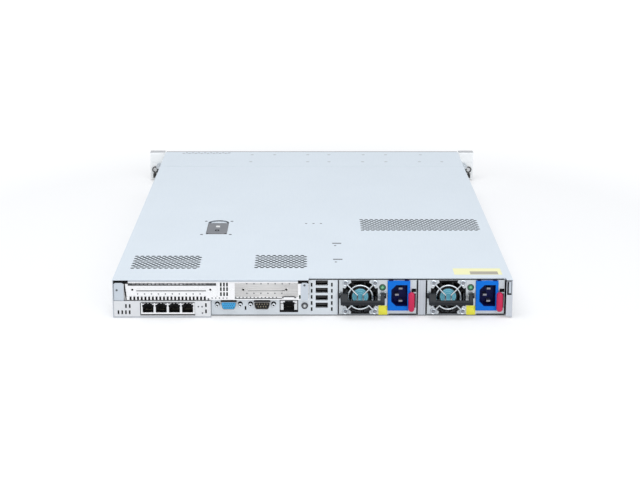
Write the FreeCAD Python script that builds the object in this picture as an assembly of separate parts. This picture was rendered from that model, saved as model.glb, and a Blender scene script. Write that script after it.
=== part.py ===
import FreeCAD, Part
import math
import os

# One-unit rack server in millimetres. +Z is up, the rear connector side faces +Y and the drive side faces -Y.
# The origin is at the bottom centre of the whole part's box. Places on the rear are given as a distance from
# the left wall as seen from behind, and as a distance forward of the cover's rear edge.

# Sheet metal and clearances
sheet = 1.0
flange_width = 9.0
flange_setback = 8.0
cover_gap = 0.2
seat_gap = 0.2
running_gap = 0.3
pin_play = 0.05
past = 1.0

# Zones across the width, seen from behind, left to right
usb_zone = 31.0
psu_fan_zone = 53.8
inlet_width = 24.4
psu_release_zone = 7.8
psu_side_gap = 0.4
psu_count = 2
divider_width = 9.3
end_return = 6.8
ear_width = 24.0

# Heights
psu_height = 39.0
psu_floor_gap = 0.4
standoff_height = 2.4
standoff_radius = 3.5
standoff_edge = 20.0
standoff_inset = 40.0
board_thickness = 1.6

# Zones along the depth, rear to front
io_recess = 7.5
psu_length = 190.0
tongue_length = 10.0
tongue_gap = 2.0
rear_spare = 2.9
board_zone = 260.0
fan_zone = 62.0
drive_length = 143.0
drive_plug_zone = 12.0
top_panel_depth = 103.5
ear_reach = 12.0

# Access cover, its vent fields (left, right, rear, front) and its hooks
vent_fields = ((14.6, 92.0, 45.0, 99.0), (152.4, 211.0, 47.0, 102.0), (276.4, 421.0, 216.0, 272.7))
vent_pitch = 14.0
vent_hole = 11.0
cover_lip = 2.6
lip_left = 13.0
cover_travel = 12.0
hook_length = 10.0
hook_reach = 3.0
hook_places = (290.0, 365.0, 440.0, 515.0)
strip_left = 25.5
strip_pitch = 6.0
strip_count = 12
strip_slot = 4.4
strip_inset = 8.0
strip_depth = 2.0

# Cover latch
latch_left = 89.5
latch_width = 24.8
latch_rear = 199.6
latch_length = 55.2
latch_thickness = 1.7
latch_eye = 2.4
latch_eye_width = 3.0
latch_pin = 1.5
latch_pin_length = 2.6
latch_drop = 1.7
pan_depth = 6.4

# Rear connectors
network_zone = 106.5
network_height = 18.0
network_length = 112.0
network_lip = 12.0
network_vents = ((14.3, 9.6), (18.4, 9.6), (6.0, 2.6), (10.1, 2.6), (14.1, 2.6), (18.2, 2.6),
                 (101.2, 3.6), (101.2, 10.7))
jack_left = 30.6
jack_pitch = 14.3
jack_count = 4
jack_width = 11.9
jack_margin = 1.8
jack_foot = 2.6
jack_block_height = 14.1
jack_depth = 21.0
jack_cavity = 13.0
jack_proud = 0.8
vent_slot_width = 1.8
vent_slot_height = 4.4
video_left = 125.8
serial_left = 162.1
d_sub_rise = 7.8
d_sub_flange_half = 6.05
d_sub_height = 8.6
video_width = 16.9
serial_width = 18.0
d_sub_reach = 5.5
d_sub_wall = 0.5
d_sub_flange = 30.8
d_sub_body = 11.2
d_sub_slope = 10.0
management_left = 191.35
management_width = 18.3
management_height = 12.6
usb_count = 4
usb_pitch = 8.45
usb_width = 12.8
usb_height = 5.0
usb_depth = 15.0
usb_from_cage = 16.7
usb_top_margin = 3.3
panel_vent_rows = 5
panel_vent_step = 6.93
panel_vent_side = 11.0
panel_vent_top = 5.5
button_left = 208.6
button_rise = 6.3
button_radius = 3.45
button_dish = 1.45
button_travel = 1.0

# Expansion slots
slot_low = 19.4
full_slot_left = 14.0
full_slot_width = 100.0
full_hole_margins = (7.4, 7.9)
slot_gap = 18.6
half_slot_width = 68.7
half_hole_margins = (9.2, 12.7)
riser_end = 11.6
slot_window_low = 22.6
slot_window_top = 38.4
slot_overlap = 1.2
slot_cover_sheet = 0.9
slot_hole_height = 30.7
slot_hole_radius = 1.9
rib_margin = 4.6
rib_height = 2.4
riser_recess = 2.0
riser_depth = 150.0
riser_web_inset = 5.0
riser_roof = 14.0
riser_hole = 1.4
riser_hole_margin = 4.5
riser_slit = 0.7
riser_card_rear = 40.0
riser_card_margin = 5.0
riser_socket_rear = 60.0
riser_socket_length = 70.0
riser_socket_height = 8.0
slot_foot_width = 5.0
slot_foot_length = 12.0
tooth_height = 1.9
tooth_start = 9.4
tooth_pitch = 4.03
tooth_count = 21
riser_vent_shifts = (3.6, 7.0, 10.3)
riser_vent_rises = (1.1, 6.7, 11.9)

# Power supply face, measured from the supply's left side and its underside
fan_left = 23.9
fan_bore = 19.2
fan_bore_depth = 26.0
fan_screw_pitch = 32.0
fan_shaft = 1.5
fan_set_in = 3.0
rotor_length = 18.0
fan_hub = 10.0
fan_blades = 7
guard_ring = 13.5
guard_wire = 1.7
guard_washer = 3.6
inlet_low = 4.8
inlet_height = 33.4
inlet_proud = 3.0
inlet_depth = 22.0
socket_width = 16.6
socket_height = 23.4
socket_depth = 17.0
socket_bevel = 5.0
pin_sink = 5.5
pin_places = ((-2.0, 0.0), (2.0, 7.0), (2.0, -7.0))
pin_size = (4.0, 2.0)
handle_left = 2.3
handle_inlet_gap = 3.6
handle_arm = 5.7
handle_bar = 2.9
handle_pivot_height = 22.0
handle_pivot_out = 3.5
handle_drop = 5.7
handle_stand = 11.1
handle_pin = 1.5
lug_width = 1.4
lug_radius = 2.8
release_inset = 4.0
release_low = 7.4
release_height = 16.4
release_tab_width = 6.6
release_tab_height = 21.7
release_tab_shift = 5.8
release_tab_depth = 5.0
release_pivot = 20.0
release_pin = 1.2
release_eye = 2.2
release_stem = 1.5
pocket_half = 2.6
catch_window = (-2.1, 2.9, 25.2, 29.1)
catch_depth = 4.0
tongue_inset = (14.0, 18.0)
tongue_room = 0.3

# Drive bays
bay_columns = 4
bay_rows = 2
bay_pitch = 76.0
cage_wall = 0.8
cage_setback = 2.0
cage_short = 1.0
carrier_gap = 0.3
bezel_reach = 7.0
drive_lever_inset = 4.0
drive_lever_length = 50.0
drive_lever_height = 8.6
drive_lever_thickness = 4.4
drive_lever_pin = 1.2
rail_groove = (1.6, 6.0)
rail_stop = 14.0
bezel_vent_count = 4
bezel_vent_width = 10.0
blank_depth = 40.0
blank_wall = 1.6
blank_face = 4.0
blank_vents = 4

# Board zone
board_edge = 2.0
bank_size = 6
memory_pitch = 8.6
memory_setback = 8.0
memory_length = 133.4
memory_height = 30.0
memory_thickness = 1.3
memory_socket = (6.0, 8.0, 3.0)
module_every = 3
half_shift = 1.0
bank_inset = 2.5
heatsink_width = 88.0
heatsink_length = 95.0
heatsink_base = 3.5
fin_count = 16
fin_thickness = 1.0
processor_size = (52.0, 48.0, 6.0)
fan_count = 8
fan_frame = 41.0
fan_length = 56.0
fan_motor = 8.0
fan_motor_length = 30.0
fan_module_blades = 6
side_margin = 15.0
baffle_setback = 70.0
baffle_length = 155.0
baffle_skin = 1.0

# Rail studs and front controls
stud_head = 4.0
stud_neck = 2.5
stud_head_length = 2.0
stud_neck_length = 2.5
stud_places = (90.0, 330.0, 560.0)
power_button_left = 16.0
power_button_rise = 11.0
power_button_radius = 5.7
power_button_collar = 1.3
front_usb_lefts = (30.0, 47.0)
front_vent_left = 68.0
front_vent_pitch = 6.4
front_vent_count = 8
media_height = 13.0
media_inset = 1.2

# Rack ears
ear_flange = 3.0
ear_strap = 80.0
ear_strap_sheet = 1.5
ear_margin = 4.0
ear_chamfer = 2.5
ear_recess = 6.0
ear_pin = 1.5
ear_pin_inset = (5.0, 3.0)
ear_window = (3.2, 14.5, 3.0, 15.6)
ear_hook = ((13.0, -8.0), (10.0, -8.0), (10.0, 4.0), (8.0, 6.0), (8.0, 9.0), (12.0, 9.0), (13.0, 5.0))
ear_lever_eye = 2.6
ear_pad = 0.6
ear_pad_margin = 1.5
ear_screw_place = (10.5, 21.0)
ear_screw_knob = (4.2, 7.0)
ear_screw_tip = (2.0, 5.0)

# Derived heights
psu_low = sheet + psu_floor_gap
psu_middle = psu_low + psu_height / 2
panel_top = psu_low + psu_height
flange_under = panel_top + running_gap
wall_top = flange_under + sheet
cover_under = wall_top + cover_gap
cover_top = cover_under + sheet
board_low = sheet + standoff_height
board_top = board_low + board_thickness

# Derived places across and along
full_slot = (full_slot_left, full_slot_left + full_slot_width)
half_slot = (full_slot[1] + slot_gap, full_slot[1] + slot_gap + half_slot_width)
riser_zone = half_slot[1] + riser_end
psu_width = psu_fan_zone + inlet_width + psu_release_zone
inlet_left = psu_fan_zone
handle_right = psu_fan_zone - handle_inlet_gap
release_left = psu_width - release_inset
cage_left = riser_zone + usb_zone
psu_first = cage_left + sheet + psu_side_gap
psu_pitch = psu_width + 2 * psu_side_gap + divider_width
body_width = cage_left + sheet + psu_count * (psu_width + 2 * psu_side_gap) + divider_width + end_return
bay_depth = io_recess + psu_length + tongue_length + tongue_gap
rear_zone = bay_depth + sheet + board_thickness + rear_spare
chassis_depth = rear_zone + board_zone + fan_zone + drive_length + drive_plug_zone
handle_reach = handle_stand + handle_bar - io_recess
overall_depth = ear_reach + chassis_depth + handle_reach
rear_edge = overall_depth / 2 - handle_reach
panel_inner = io_recess + sheet
d_sub_middle = board_top + d_sub_rise
usb_middle = cage_left - usb_from_cage
cage_front = chassis_depth - cage_setback
cage_rear = cage_front - drive_length + cage_short
drive_cage_left = body_width - sheet - seat_gap - bay_columns * bay_pitch - cage_wall
bay_width = bay_pitch - cage_wall
bay_height = (wall_top - sheet - (bay_rows + 1) * cage_wall) / bay_rows
bezel_face = chassis_depth + bezel_reach
half_pitch = body_width / 2 - side_margin + half_shift
memory_rear = rear_zone + baffle_setback + memory_setback
handle_pivot = (io_recess - handle_pivot_out, psu_low + handle_pivot_height)
handle_grip = (io_recess - handle_stand, psu_low + handle_pivot_height - handle_drop)
latch_pivot = (latch_rear + latch_eye, cover_under - latch_drop)
pan_left = latch_left - running_gap
pan_right = latch_left + latch_width + running_gap
pan_radius = (pan_right - pan_left) / 2
pan_rear = latch_rear - running_gap - sheet
pan_front = latch_rear + latch_length + pan_radius


def vec(x, y, z):
    return FreeCAD.Vector(x, y, z)


def across(from_left):
    return body_width / 2 - from_left


def along(from_rear):
    return rear_edge - from_rear


def slab(left, right, rear, front, low, high):
    corner = vec(across(right), along(front), low)
    return Part.makeBox(right - left, front - rear, high - low, corner)


def middle_slab(left, width, rear, front, height, tall):
    # A slab about a middle point on the rear face, given by its width and its height.
    return slab(left - width / 2, left + width / 2, rear, front, height - tall / 2, height + tall / 2)


def face_of(corners):
    return Part.Face(Part.makePolygon(corners + corners[:1]))


def rear_profile(points, rear, front):
    # An outline of (from left, height) points, extruded from one depth to another.
    corners = [vec(across(left), along(rear), height) for left, height in points]
    return face_of(corners).extrude(vec(0, rear - front, 0))


def plan_profile(points, low, high):
    # An outline of (from left, from rear) points, extruded upwards.
    corners = [vec(across(left), along(rear), low) for left, rear in points]
    return face_of(corners).extrude(vec(0, 0, high - low))


def side_profile(points, left, right):
    # An outline of (from rear, height) points, extruded across.
    corners = [vec(across(left), along(rear), height) for rear, height in points]
    return face_of(corners).extrude(vec(left - right, 0, 0))


def rod_along(radius, left, height, rear, front):
    return Part.makeCylinder(radius, front - rear, vec(across(left), along(front), height), vec(0, 1, 0))


def rod_across(radius, rear, height, left, right):
    return Part.makeCylinder(radius, right - left, vec(across(right), along(rear), height), vec(1, 0, 0))


def rod_up(radius, left, rear, low, high):
    return Part.makeCylinder(radius, high - low, vec(across(left), along(rear), low))


def ring_points(sides, radius, first, second):
    # Corners of a regular polygon about a middle point, with a flat side at the bottom.
    points = []
    for corner in range(sides):
        turn = 2 * math.pi * (corner + 0.5) / sides - math.pi / 2
        points.append((first + radius * math.cos(turn), second + radius * math.sin(turn)))
    return points


def bar_along(sides, radius, left, height, rear, front):
    return rear_profile(ring_points(sides, radius, left, height), rear, front)


def bar_across(sides, radius, rear, height, left, right):
    return side_profile(ring_points(sides, radius, rear, height), left, right)


def bar_up(sides, radius, left, rear, low, high):
    # The first flat side faces across, so six-sided bars stack into rows.
    points = [(place, depth) for depth, place in ring_points(sides, radius, rear, left)]
    return plan_profile(points, low, high)


def join(pieces):
    return pieces[0].multiFuse(pieces[1:]).removeSplitter()


def mirrored(shape):
    return shape.mirror(vec(0, 0, 0), vec(1, 0, 0))


def export(node, *solids):
    shape = solids[0] if len(solids) == 1 else Part.makeCompound(list(solids))
    shape.exportStep("parts/" + node + ".step")


# Chassis

def standoff_places():
    near = standoff_inset
    far = bay_depth - standoff_inset
    side = cage_left - standoff_edge
    places = [(network_zone + standoff_edge, near), (standoff_edge, far), (side, near), (side, far)]
    for left in (standoff_edge, body_width / 2, body_width - standoff_edge):
        for rear in (rear_zone + standoff_edge, rear_zone + board_zone - standoff_edge):
            places.append((left, rear))
    return places


def make_chassis_tray():
    inner = body_width - sheet
    far = body_width - flange_width
    channel = rear_profile(
        [(0, 0), (body_width, 0), (body_width, wall_top), (far, wall_top), (far, flange_under),
         (inner, flange_under), (inner, sheet), (sheet, sheet), (sheet, flange_under),
         (flange_width, flange_under), (flange_width, wall_top), (0, wall_top)], 0, chassis_depth)
    below = flange_under - sheet
    cuts = [slab(network_zone, inner, -past, io_recess, -past, sheet)]
    notch = hook_reach + sheet
    for place in hook_places:
        rear = place - cover_travel - sheet
        front = rear + hook_length + 2 * sheet
        cuts.append(slab(flange_width - notch, flange_width + past, rear, front, below, cover_top))
        cuts.append(slab(far - past, far + notch, rear, front, below, cover_top))
    flange_end = cage_rear - 2 * sheet
    for left, right in ((sheet, flange_width + past), (far - past, inner)):
        cuts.append(slab(left, right, flange_end, chassis_depth + past, below, cover_top))
        cuts.append(slab(left, right, -past, flange_setback, below, cover_top))
    end_left = body_width - end_return
    end = slab(end_left, inner, 0, sheet, sheet, flange_under)
    slot = slab(end_left + 2 * sheet, inner - sheet, -past, 2 * sheet, psu_middle + end_return, below - sheet)
    pieces = [channel.cut(cuts), end.cut(slot)]
    for left, rear in standoff_places():
        pieces.append(bar_up(6, standoff_radius, left, rear, sheet, board_low))
    export("chassis_tray", join(pieces))


def make_front_top_panel():
    rear = chassis_depth - top_panel_depth + running_gap
    plate = slab(0, body_width, rear, chassis_depth, cover_under, cover_top)
    slot_front = cage_front - strip_inset
    slot_rear = slot_front - strip_depth
    slots = []
    for step in range(strip_count):
        left = strip_left + step * strip_pitch
        slots.append(slab(left, left + strip_slot, slot_rear, slot_front, cover_under - past, cover_top + past))
    export("front_top_panel", plate.cut(slots))


def make_rail_studs():
    # Shouldered studs: a round head that hangs in a rail's keyhole, on a thinner neck.
    studs = []
    tip = -stud_neck_length - stud_head_length
    for place in stud_places:
        neck = bar_across(8, stud_neck, place, psu_middle, -stud_neck_length, 0)
        head = rod_across(stud_head, place, psu_middle, tip, -stud_neck_length)
        stud = join([neck, head])
        studs += [stud, mirrored(stud)]
    export("rail_studs", *studs)


# Rear panel and its connectors

def d_outline(left, width, height, rear, front):
    # A D-shaped connector's outline, wider at the top, with its corners taken off.
    slope = height * math.tan(math.radians(d_sub_slope))
    top = width / 2
    low = top - slope
    up = d_sub_middle + height / 2
    down = d_sub_middle - height / 2
    corner = height / 6
    right_side = [(left + low - corner, down), (left + low, down + corner), (left + top, up - corner),
                  (left + top - corner, up)]
    left_side = [(2 * left - place, rise) for place, rise in reversed(right_side)]
    return rear_profile(right_side + left_side, rear, front)


def usb_heights():
    top = panel_top - usb_top_margin
    return [top - step * usb_pitch for step in range(usb_count)]


def make_rear_panel():
    shelf = slot_low - seat_gap
    step = riser_zone + seat_gap
    start = network_zone + seat_gap
    plate = rear_profile([(start, sheet), (cage_left, sheet), (cage_left, panel_top), (step, panel_top),
                          (step, shelf), (start, shelf)], io_recess, panel_inner)
    out = io_recess - past
    back = panel_inner + past
    room = 2 * running_gap
    cuts = [d_outline(video_left, video_width + room, d_sub_height + room, out, back),
            d_outline(serial_left, serial_width + room, d_sub_height + room, out, back)]
    cuts.append(middle_slab(management_left, management_width + room, out, back,
                            board_top + management_height / 2, management_height + room))
    cuts.append(bar_along(24, button_radius + running_gap, button_left, board_top + button_rise, out, back))
    for height in usb_heights():
        cuts.append(middle_slab(usb_middle, usb_width, out, back, height, usb_height))
    first_vent = panel_top - panel_vent_top
    for left in (usb_middle - panel_vent_side, usb_middle + panel_vent_side):
        for row in range(panel_vent_rows):
            height = first_vent - row * panel_vent_step
            cuts.append(middle_slab(left, vent_slot_width, out, back, height, vent_slot_height))
    between = (video_left + serial_left) / 2
    cuts.append(middle_slab(between, vent_slot_width, out, back, d_sub_middle - vent_slot_height, vent_slot_height))
    export("rear_panel", plate.cut(cuts))


def make_d_subs():
    out = io_recess - d_sub_reach
    flange_front = panel_inner + 2 * d_sub_wall
    body_front = flange_front + d_sub_body
    top = d_sub_middle + d_sub_flange_half
    half = d_sub_flange / 2
    shells = []
    for left, width in ((video_left, video_width), (serial_left, serial_width)):
        flange = slab(left - half, left + half, panel_inner, flange_front, board_top, top)
        outer = d_outline(left, width, d_sub_height, out, flange_front)
        inside = 2 * d_sub_wall
        bore = d_outline(left, width - inside, d_sub_height - inside, out - past, flange_front + past)
        shells.append(join([flange, outer]).cut(bore))
    export("d_sub_shells", *shells)
    fill = 2 * d_sub_wall + seat_gap
    socket_face = out + d_sub_wall
    pin_floor = io_recess - running_gap
    for node, left, width, face in (("video_insert", video_left, video_width, socket_face),
                                    ("serial_insert", serial_left, serial_width, pin_floor)):
        body = slab(left - half, left + half, flange_front, body_front, board_top, top)
        nose = d_outline(left, width - fill, d_sub_height - fill, face, flange_front)
        export(node, join([body, nose]))


def jack_outline(left, low, rear, front):
    # A modular jack's mouth: a wide lower part and a stepped latch groove above it.
    half = jack_width / 2
    latch = 3.0
    tip = 1.8
    body_top = low + 7.0
    latch_top = low + 8.9
    tip_top = low + 10.3
    points = [(left - half, low), (left + half, low), (left + half, body_top), (left + latch, body_top),
              (left + latch, latch_top), (left + tip, latch_top), (left + tip, tip_top), (left - tip, tip_top),
              (left - tip, latch_top), (left - latch, latch_top), (left - latch, body_top), (left - half, body_top)]
    return rear_profile(points, rear, front)


def make_management_jack():
    half = management_width / 2
    rear = io_recess - jack_proud
    block = slab(management_left - half, management_left + half, rear, rear + jack_depth,
                 board_top, board_top + management_height)
    mouth = jack_outline(management_left, board_top + sheet, rear - past, rear + jack_cavity)
    export("management_jack", block.cut(mouth))


def make_usb_ports():
    # A stack of four sockets in one shield, each with its contact tongue.
    wall = 0.5
    tongue = 1.8
    width = usb_width - wall
    end = panel_inner + usb_depth * 0.8
    block_height = panel_top - board_top
    block = middle_slab(usb_middle, usb_width + 2 * wall, panel_inner, panel_inner + usb_depth,
                        board_top + block_height / 2, block_height)
    cuts = []
    tongues = []
    for height in usb_heights():
        cuts.append(middle_slab(usb_middle, width, panel_inner - past, end, height, usb_height - wall))
        tongues.append(middle_slab(usb_middle, width - tongue, panel_inner + sheet, end + wall, height + wall,
                                   tongue))
    export("usb_ports", join([block.cut(cuts)] + tongues))


def make_rear_id_button():
    height = board_top + button_rise
    out = io_recess - jack_proud - sheet
    collar_rear = panel_inner + running_gap
    collar_front = collar_rear + button_travel
    cap = bar_along(24, button_radius, button_left, height, out, collar_front)
    dish = bar_along(12, button_dish, button_left, height, out - past, out + running_gap)
    collar = bar_along(12, button_radius + sheet, button_left, height, collar_rear, collar_front)
    export("rear_id_button", join([cap.cut(dish), collar]))


# Network card

def make_network_card():
    low = sheet + seat_gap
    top = low + network_height - 2 * seat_gap
    right = network_zone - seat_gap
    back = 2 * sheet
    board_high = low + board_thickness
    jack_right = jack_left + jack_count * jack_pitch + 2 * jack_margin - (jack_pitch - jack_width)
    plate = slab(sheet + seat_gap, right, 0, sheet, low, top)
    lip = slab(right - sheet, right, 0, network_lip, low, top)
    cuts = [slab(jack_left - seat_gap, jack_right + seat_gap, -past, back, board_high,
                 board_high + jack_block_height + seat_gap)]
    for left, foot in network_vents:
        height = low + foot + vent_slot_height / 2
        cuts.append(middle_slab(left, vent_slot_width, -past, back, height, vent_slot_height))
    board = slab(sheet + board_edge, right - sheet - board_edge, sheet, network_length, low, board_high)
    export("network_card", join([join([plate, lip]).cut(cuts), board]))
    block = slab(jack_left, jack_right, -jack_proud, jack_depth, board_high, board_high + jack_block_height)
    mouths = []
    for step in range(jack_count):
        middle = jack_left + jack_margin + jack_width / 2 + step * jack_pitch
        mouths.append(jack_outline(middle, board_high + jack_foot, -jack_proud - past, jack_cavity))
    export("network_jacks", block.cut(mouths))


# Riser and slot covers

def make_riser():
    rear = riser_recess
    front = rear + sheet
    out = rear - past
    back = front + past
    plate = slab(sheet + seat_gap, riser_zone, rear, front, slot_low, panel_top)
    cuts = []
    for left, right in (full_slot, half_slot):
        cuts.append(slab(left, right, out, back, slot_window_low, slot_window_top))
    slit_right = full_slot[0] - sheet
    cuts.append(slab(slit_right - riser_slit, slit_right, out, back, slot_low - past, slot_window_top))
    for step in range(tooth_count):
        left = full_slot[0] + tooth_start + step * tooth_pitch
        cuts.append(slab(left - vent_slot_width / 2, left + vent_slot_width / 2, out, back, slot_low - past,
                         slot_low + tooth_height))
    for shift in riser_vent_shifts:
        for rise in riser_vent_rises:
            height = slot_window_low + rise + vent_slot_height / 2
            cuts.append(middle_slab(full_slot[1] + shift, vent_slot_width, out, back, height, vent_slot_height))
    cuts.append(middle_slab(half_slot[1] + 2 * sheet, vent_slot_width, out, back, slot_window_low,
                            vent_slot_height))
    far_hole = riser_zone - riser_hole_margin
    for left, height in ((riser_hole_margin, slot_hole_height), (far_hole, panel_top - riser_hole_margin)):
        cuts.append(bar_along(12, riser_hole, left, height, out, back))
    web_left = half_slot[0] - riser_web_inset
    web = slab(web_left, web_left + sheet, rear, riser_depth, slot_low, panel_top)
    roof = slab(full_slot[0], half_slot[1], rear, riser_roof, panel_top - sheet, panel_top)
    export("riser_cage", join([plate.cut(cuts), web, roof]))
    card_left = web_left - board_thickness
    card_front = riser_depth - riser_card_margin
    card = slab(card_left, web_left, riser_card_rear, card_front, board_top, panel_top - 2 * sheet)
    socket_low = (board_top + panel_top) / 2
    socket_front = riser_socket_rear + riser_socket_length
    socket = slab(card_left - riser_socket_height, card_left, riser_socket_rear, socket_front, socket_low,
                  socket_low + riser_socket_height)
    export("riser_card", join([card, socket]))


def make_slot_cover(node, slot, hole_margins):
    # A bright plate behind its window, with screw holes, a pressed rib and a foot tongue.
    rear = riser_recess + sheet
    front = rear + slot_cover_sheet
    left, right = slot
    low = slot_window_low - slot_overlap
    top = panel_top - sheet - seat_gap
    holes = (left + hole_margins[0], right - hole_margins[1])
    plate = slab(left - slot_overlap, right + slot_overlap, rear, front, low, top)
    cuts = [bar_along(12, slot_hole_radius, place, slot_hole_height, rear - past, front + past) for place in holes]
    rib_middle = (holes[0] + holes[1]) / 2
    rib_width = holes[1] - holes[0] - 2 * rib_margin
    rib_depth = slot_cover_sheet * 2 / 3
    groove_depth = slot_cover_sheet / 2
    ridge = middle_slab(rib_middle, rib_width, rear - rib_depth, rear, slot_hole_height, rib_height)
    cuts.append(middle_slab(rib_middle, rib_width - rib_height, front - groove_depth, front, slot_hole_height,
                            rib_height / 2))
    foot_right = right - slot_overlap
    foot_left = foot_right - slot_foot_width
    foot = slab(foot_left, foot_right, front, front + slot_foot_length, low, low + slot_cover_sheet)
    export(node, join([plate.cut(cuts), ridge, foot]))


# Power supplies

def make_psu_cage():
    # The bay's left wall, its far end with two plug openings, and the folded divider post.
    back = bay_depth
    right = body_width - sheet - seat_gap
    wall = slab(cage_left, cage_left + sheet, panel_inner, back, sheet, panel_top)
    end = slab(cage_left, right, back, back + sheet, sheet, panel_top)
    face = io_recess - sheet
    inner = face + 2 * sheet
    post_left = psu_first + psu_width + psu_side_gap
    post_right = post_left + divider_width
    post = plan_profile([(post_left, back), (post_left, face), (post_right, face), (post_right, back),
                         (post_right - sheet, back), (post_right - sheet, inner), (post_left + sheet, inner),
                         (post_left + sheet, back)], sheet, panel_top)
    groove_width = 0.8
    groove_depth = 0.5
    middle = (post_left + post_right) / 2
    grooves = []
    for left in (middle - divider_width / 5, middle + divider_width / 5):
        grooves.append(slab(left - groove_width / 2, left + groove_width / 2, face - past, face + groove_depth,
                            sheet - past, panel_top + past))
    cuts = []
    tongue_left, tongue_right = tongue_inset
    plug_room = 4.0
    plug_height = 13.2
    for place in range(psu_count):
        left = psu_first + place * psu_pitch
        opening = psu_width - tongue_left - tongue_right + 2 * plug_room
        plug_middle = left + (psu_width + tongue_left - tongue_right) / 2
        cuts.append(middle_slab(plug_middle, opening, back - past, back + 2 * sheet, psu_middle, plug_height))
    export("psu_cage", join([wall, end.cut(cuts), post.cut(grooves)]))


def make_power_backplane():
    rear = bay_depth + sheet
    last = psu_first + (psu_count - 1) * psu_pitch + psu_width
    margin = 3.0
    pieces = [slab(psu_first, last, rear, rear + board_thickness, sheet + margin, panel_top - margin)]
    tongue_left, tongue_right = tongue_inset
    socket_face = bay_depth - tongue_length
    socket_size = 12.0
    for place in range(psu_count):
        left = psu_first + place * psu_pitch
        middle = left + (psu_width + tongue_left - tongue_right) / 2
        width = psu_width - tongue_left - tongue_right
        socket = middle_slab(middle, width + 2 * margin, socket_face, rear, psu_middle, socket_size)
        slot = middle_slab(middle, width + 2 * tongue_room, socket_face - past, rear - sheet / 2, psu_middle,
                           board_thickness + 2 * tongue_room)
        pieces.append(socket.cut(slot))
    export("power_backplane", join(pieces))


def link(first, second, radius, left, right):
    # A flat arm of one thickness between two round ends, given as (from rear, height).
    rise = second[1] - first[1]
    run = second[0] - first[0]
    length = math.hypot(rise, run)
    side = (-rise / length * radius, run / length * radius)
    corners = []
    for eye, sign in ((first, 1), (second, 1), (second, -1), (first, -1)):
        corners.append((eye[0] + sign * side[0], eye[1] + sign * side[1]))
    bar = side_profile(corners, left, right)
    return join([bar, bar_across(10, radius, *first, left, right), bar_across(12, radius, *second, left, right)])


def handle_lugs(left):
    # Two lugs on the supply's face, each with a pin that points into an arm of the handle.
    pieces = []
    out, height = handle_pivot
    eye_depth = handle_arm - 2 * pin_play - sheet / 2
    for edge, inward in ((left + handle_left, 1), (left + handle_right, -1)):
        near = edge - inward * running_gap
        far = near - inward * lug_width
        tip = edge + inward * eye_depth
        span = (min(near, far), max(near, far))
        pieces.append(slab(*span, out, io_recess, height - lug_radius, height + lug_radius))
        pieces.append(bar_across(12, lug_radius, out, height, *span))
        pieces.append(rod_across(handle_pin, out, height, min(far, tip), max(far, tip)))
    return pieces


def make_psu_case(node, left):
    high = psu_low + psu_height
    rear = io_recess
    end = rear + psu_length
    out = rear - past
    case = slab(left, left + psu_width, rear, end, psu_low, high)
    cuts = [rod_along(fan_bore, left + fan_left, psu_middle, out, rear + fan_bore_depth)]
    room = 2 * seat_gap
    inlet_middle = left + inlet_left + inlet_width / 2
    inlet_centre = psu_low + inlet_low + inlet_height / 2
    cuts.append(middle_slab(inlet_middle, inlet_width + room, out, rear + inlet_depth - inlet_proud, inlet_centre,
                            inlet_height + room))
    middle = left + release_left
    catch_left, catch_right, catch_low, catch_high = catch_window
    cuts.append(slab(middle + catch_left, middle + catch_right, out, rear + catch_depth, psu_low + catch_low,
                     psu_low + catch_high))
    pocket_low = psu_low + release_low
    pocket_high = pocket_low + release_height
    pocket_front = rear + release_pivot + pocket_half
    cuts.append(slab(middle - pocket_half, middle + pocket_half, out, pocket_front, pocket_low, pocket_high))
    exhaust_pitch = psu_width / 4
    exhaust_height = psu_height / 4
    for step in (-1, 0, 1):
        vent = left + psu_width / 2 + step * exhaust_pitch
        cuts.append(middle_slab(vent, exhaust_pitch - 4 * sheet, end - 3 * sheet, end + past,
                                high - exhaust_height, exhaust_height))
    shaft_end = rear + fan_bore_depth
    pieces = [case.cut(cuts)]
    shaft_rear = rear + fan_set_in + rotor_length / 2
    pieces.append(rod_along(fan_shaft, left + fan_left, psu_middle, shaft_rear, shaft_end))
    pieces.append(rod_up(release_pin, middle, rear + release_pivot, pocket_low, pocket_high))
    tongue_left, tongue_right = tongue_inset
    half = board_thickness / 2
    pieces.append(slab(left + tongue_left, left + psu_width - tongue_right, end, end + tongue_length,
                       psu_middle - half, psu_middle + half))
    export(node, join(pieces + handle_lugs(left)))


def make_psu_fan_guard(node, left):
    middle = left + fan_left
    front = io_recess
    rear = front - guard_wire
    half = guard_wire / 2
    ring = bar_along(24, guard_ring + half, middle, psu_middle, rear, front)
    pieces = [ring.cut(bar_along(24, guard_ring - half, middle, psu_middle, rear - past, front + past))]
    corner = fan_screw_pitch / 2
    hub_reach = 5.5
    spoke_length = corner * math.sqrt(2) - hub_reach
    for step in range(4):
        turn = 45 + 90 * step
        spoke = Part.makeBox(spoke_length, guard_wire, guard_wire, vec(hub_reach, -half, -half))
        spoke.rotate(vec(0, 0, 0), vec(0, 1, 0), turn)
        spoke.translate(vec(across(middle), along(front) + half, psu_middle))
        pieces.append(spoke)
        side = math.copysign(corner, math.cos(math.radians(turn)))
        rise = math.copysign(corner, math.sin(math.radians(turn)))
        pieces.append(bar_along(6, guard_washer, middle + side, psu_middle + rise, rear - half, front))
    export(node, join(pieces))


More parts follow.
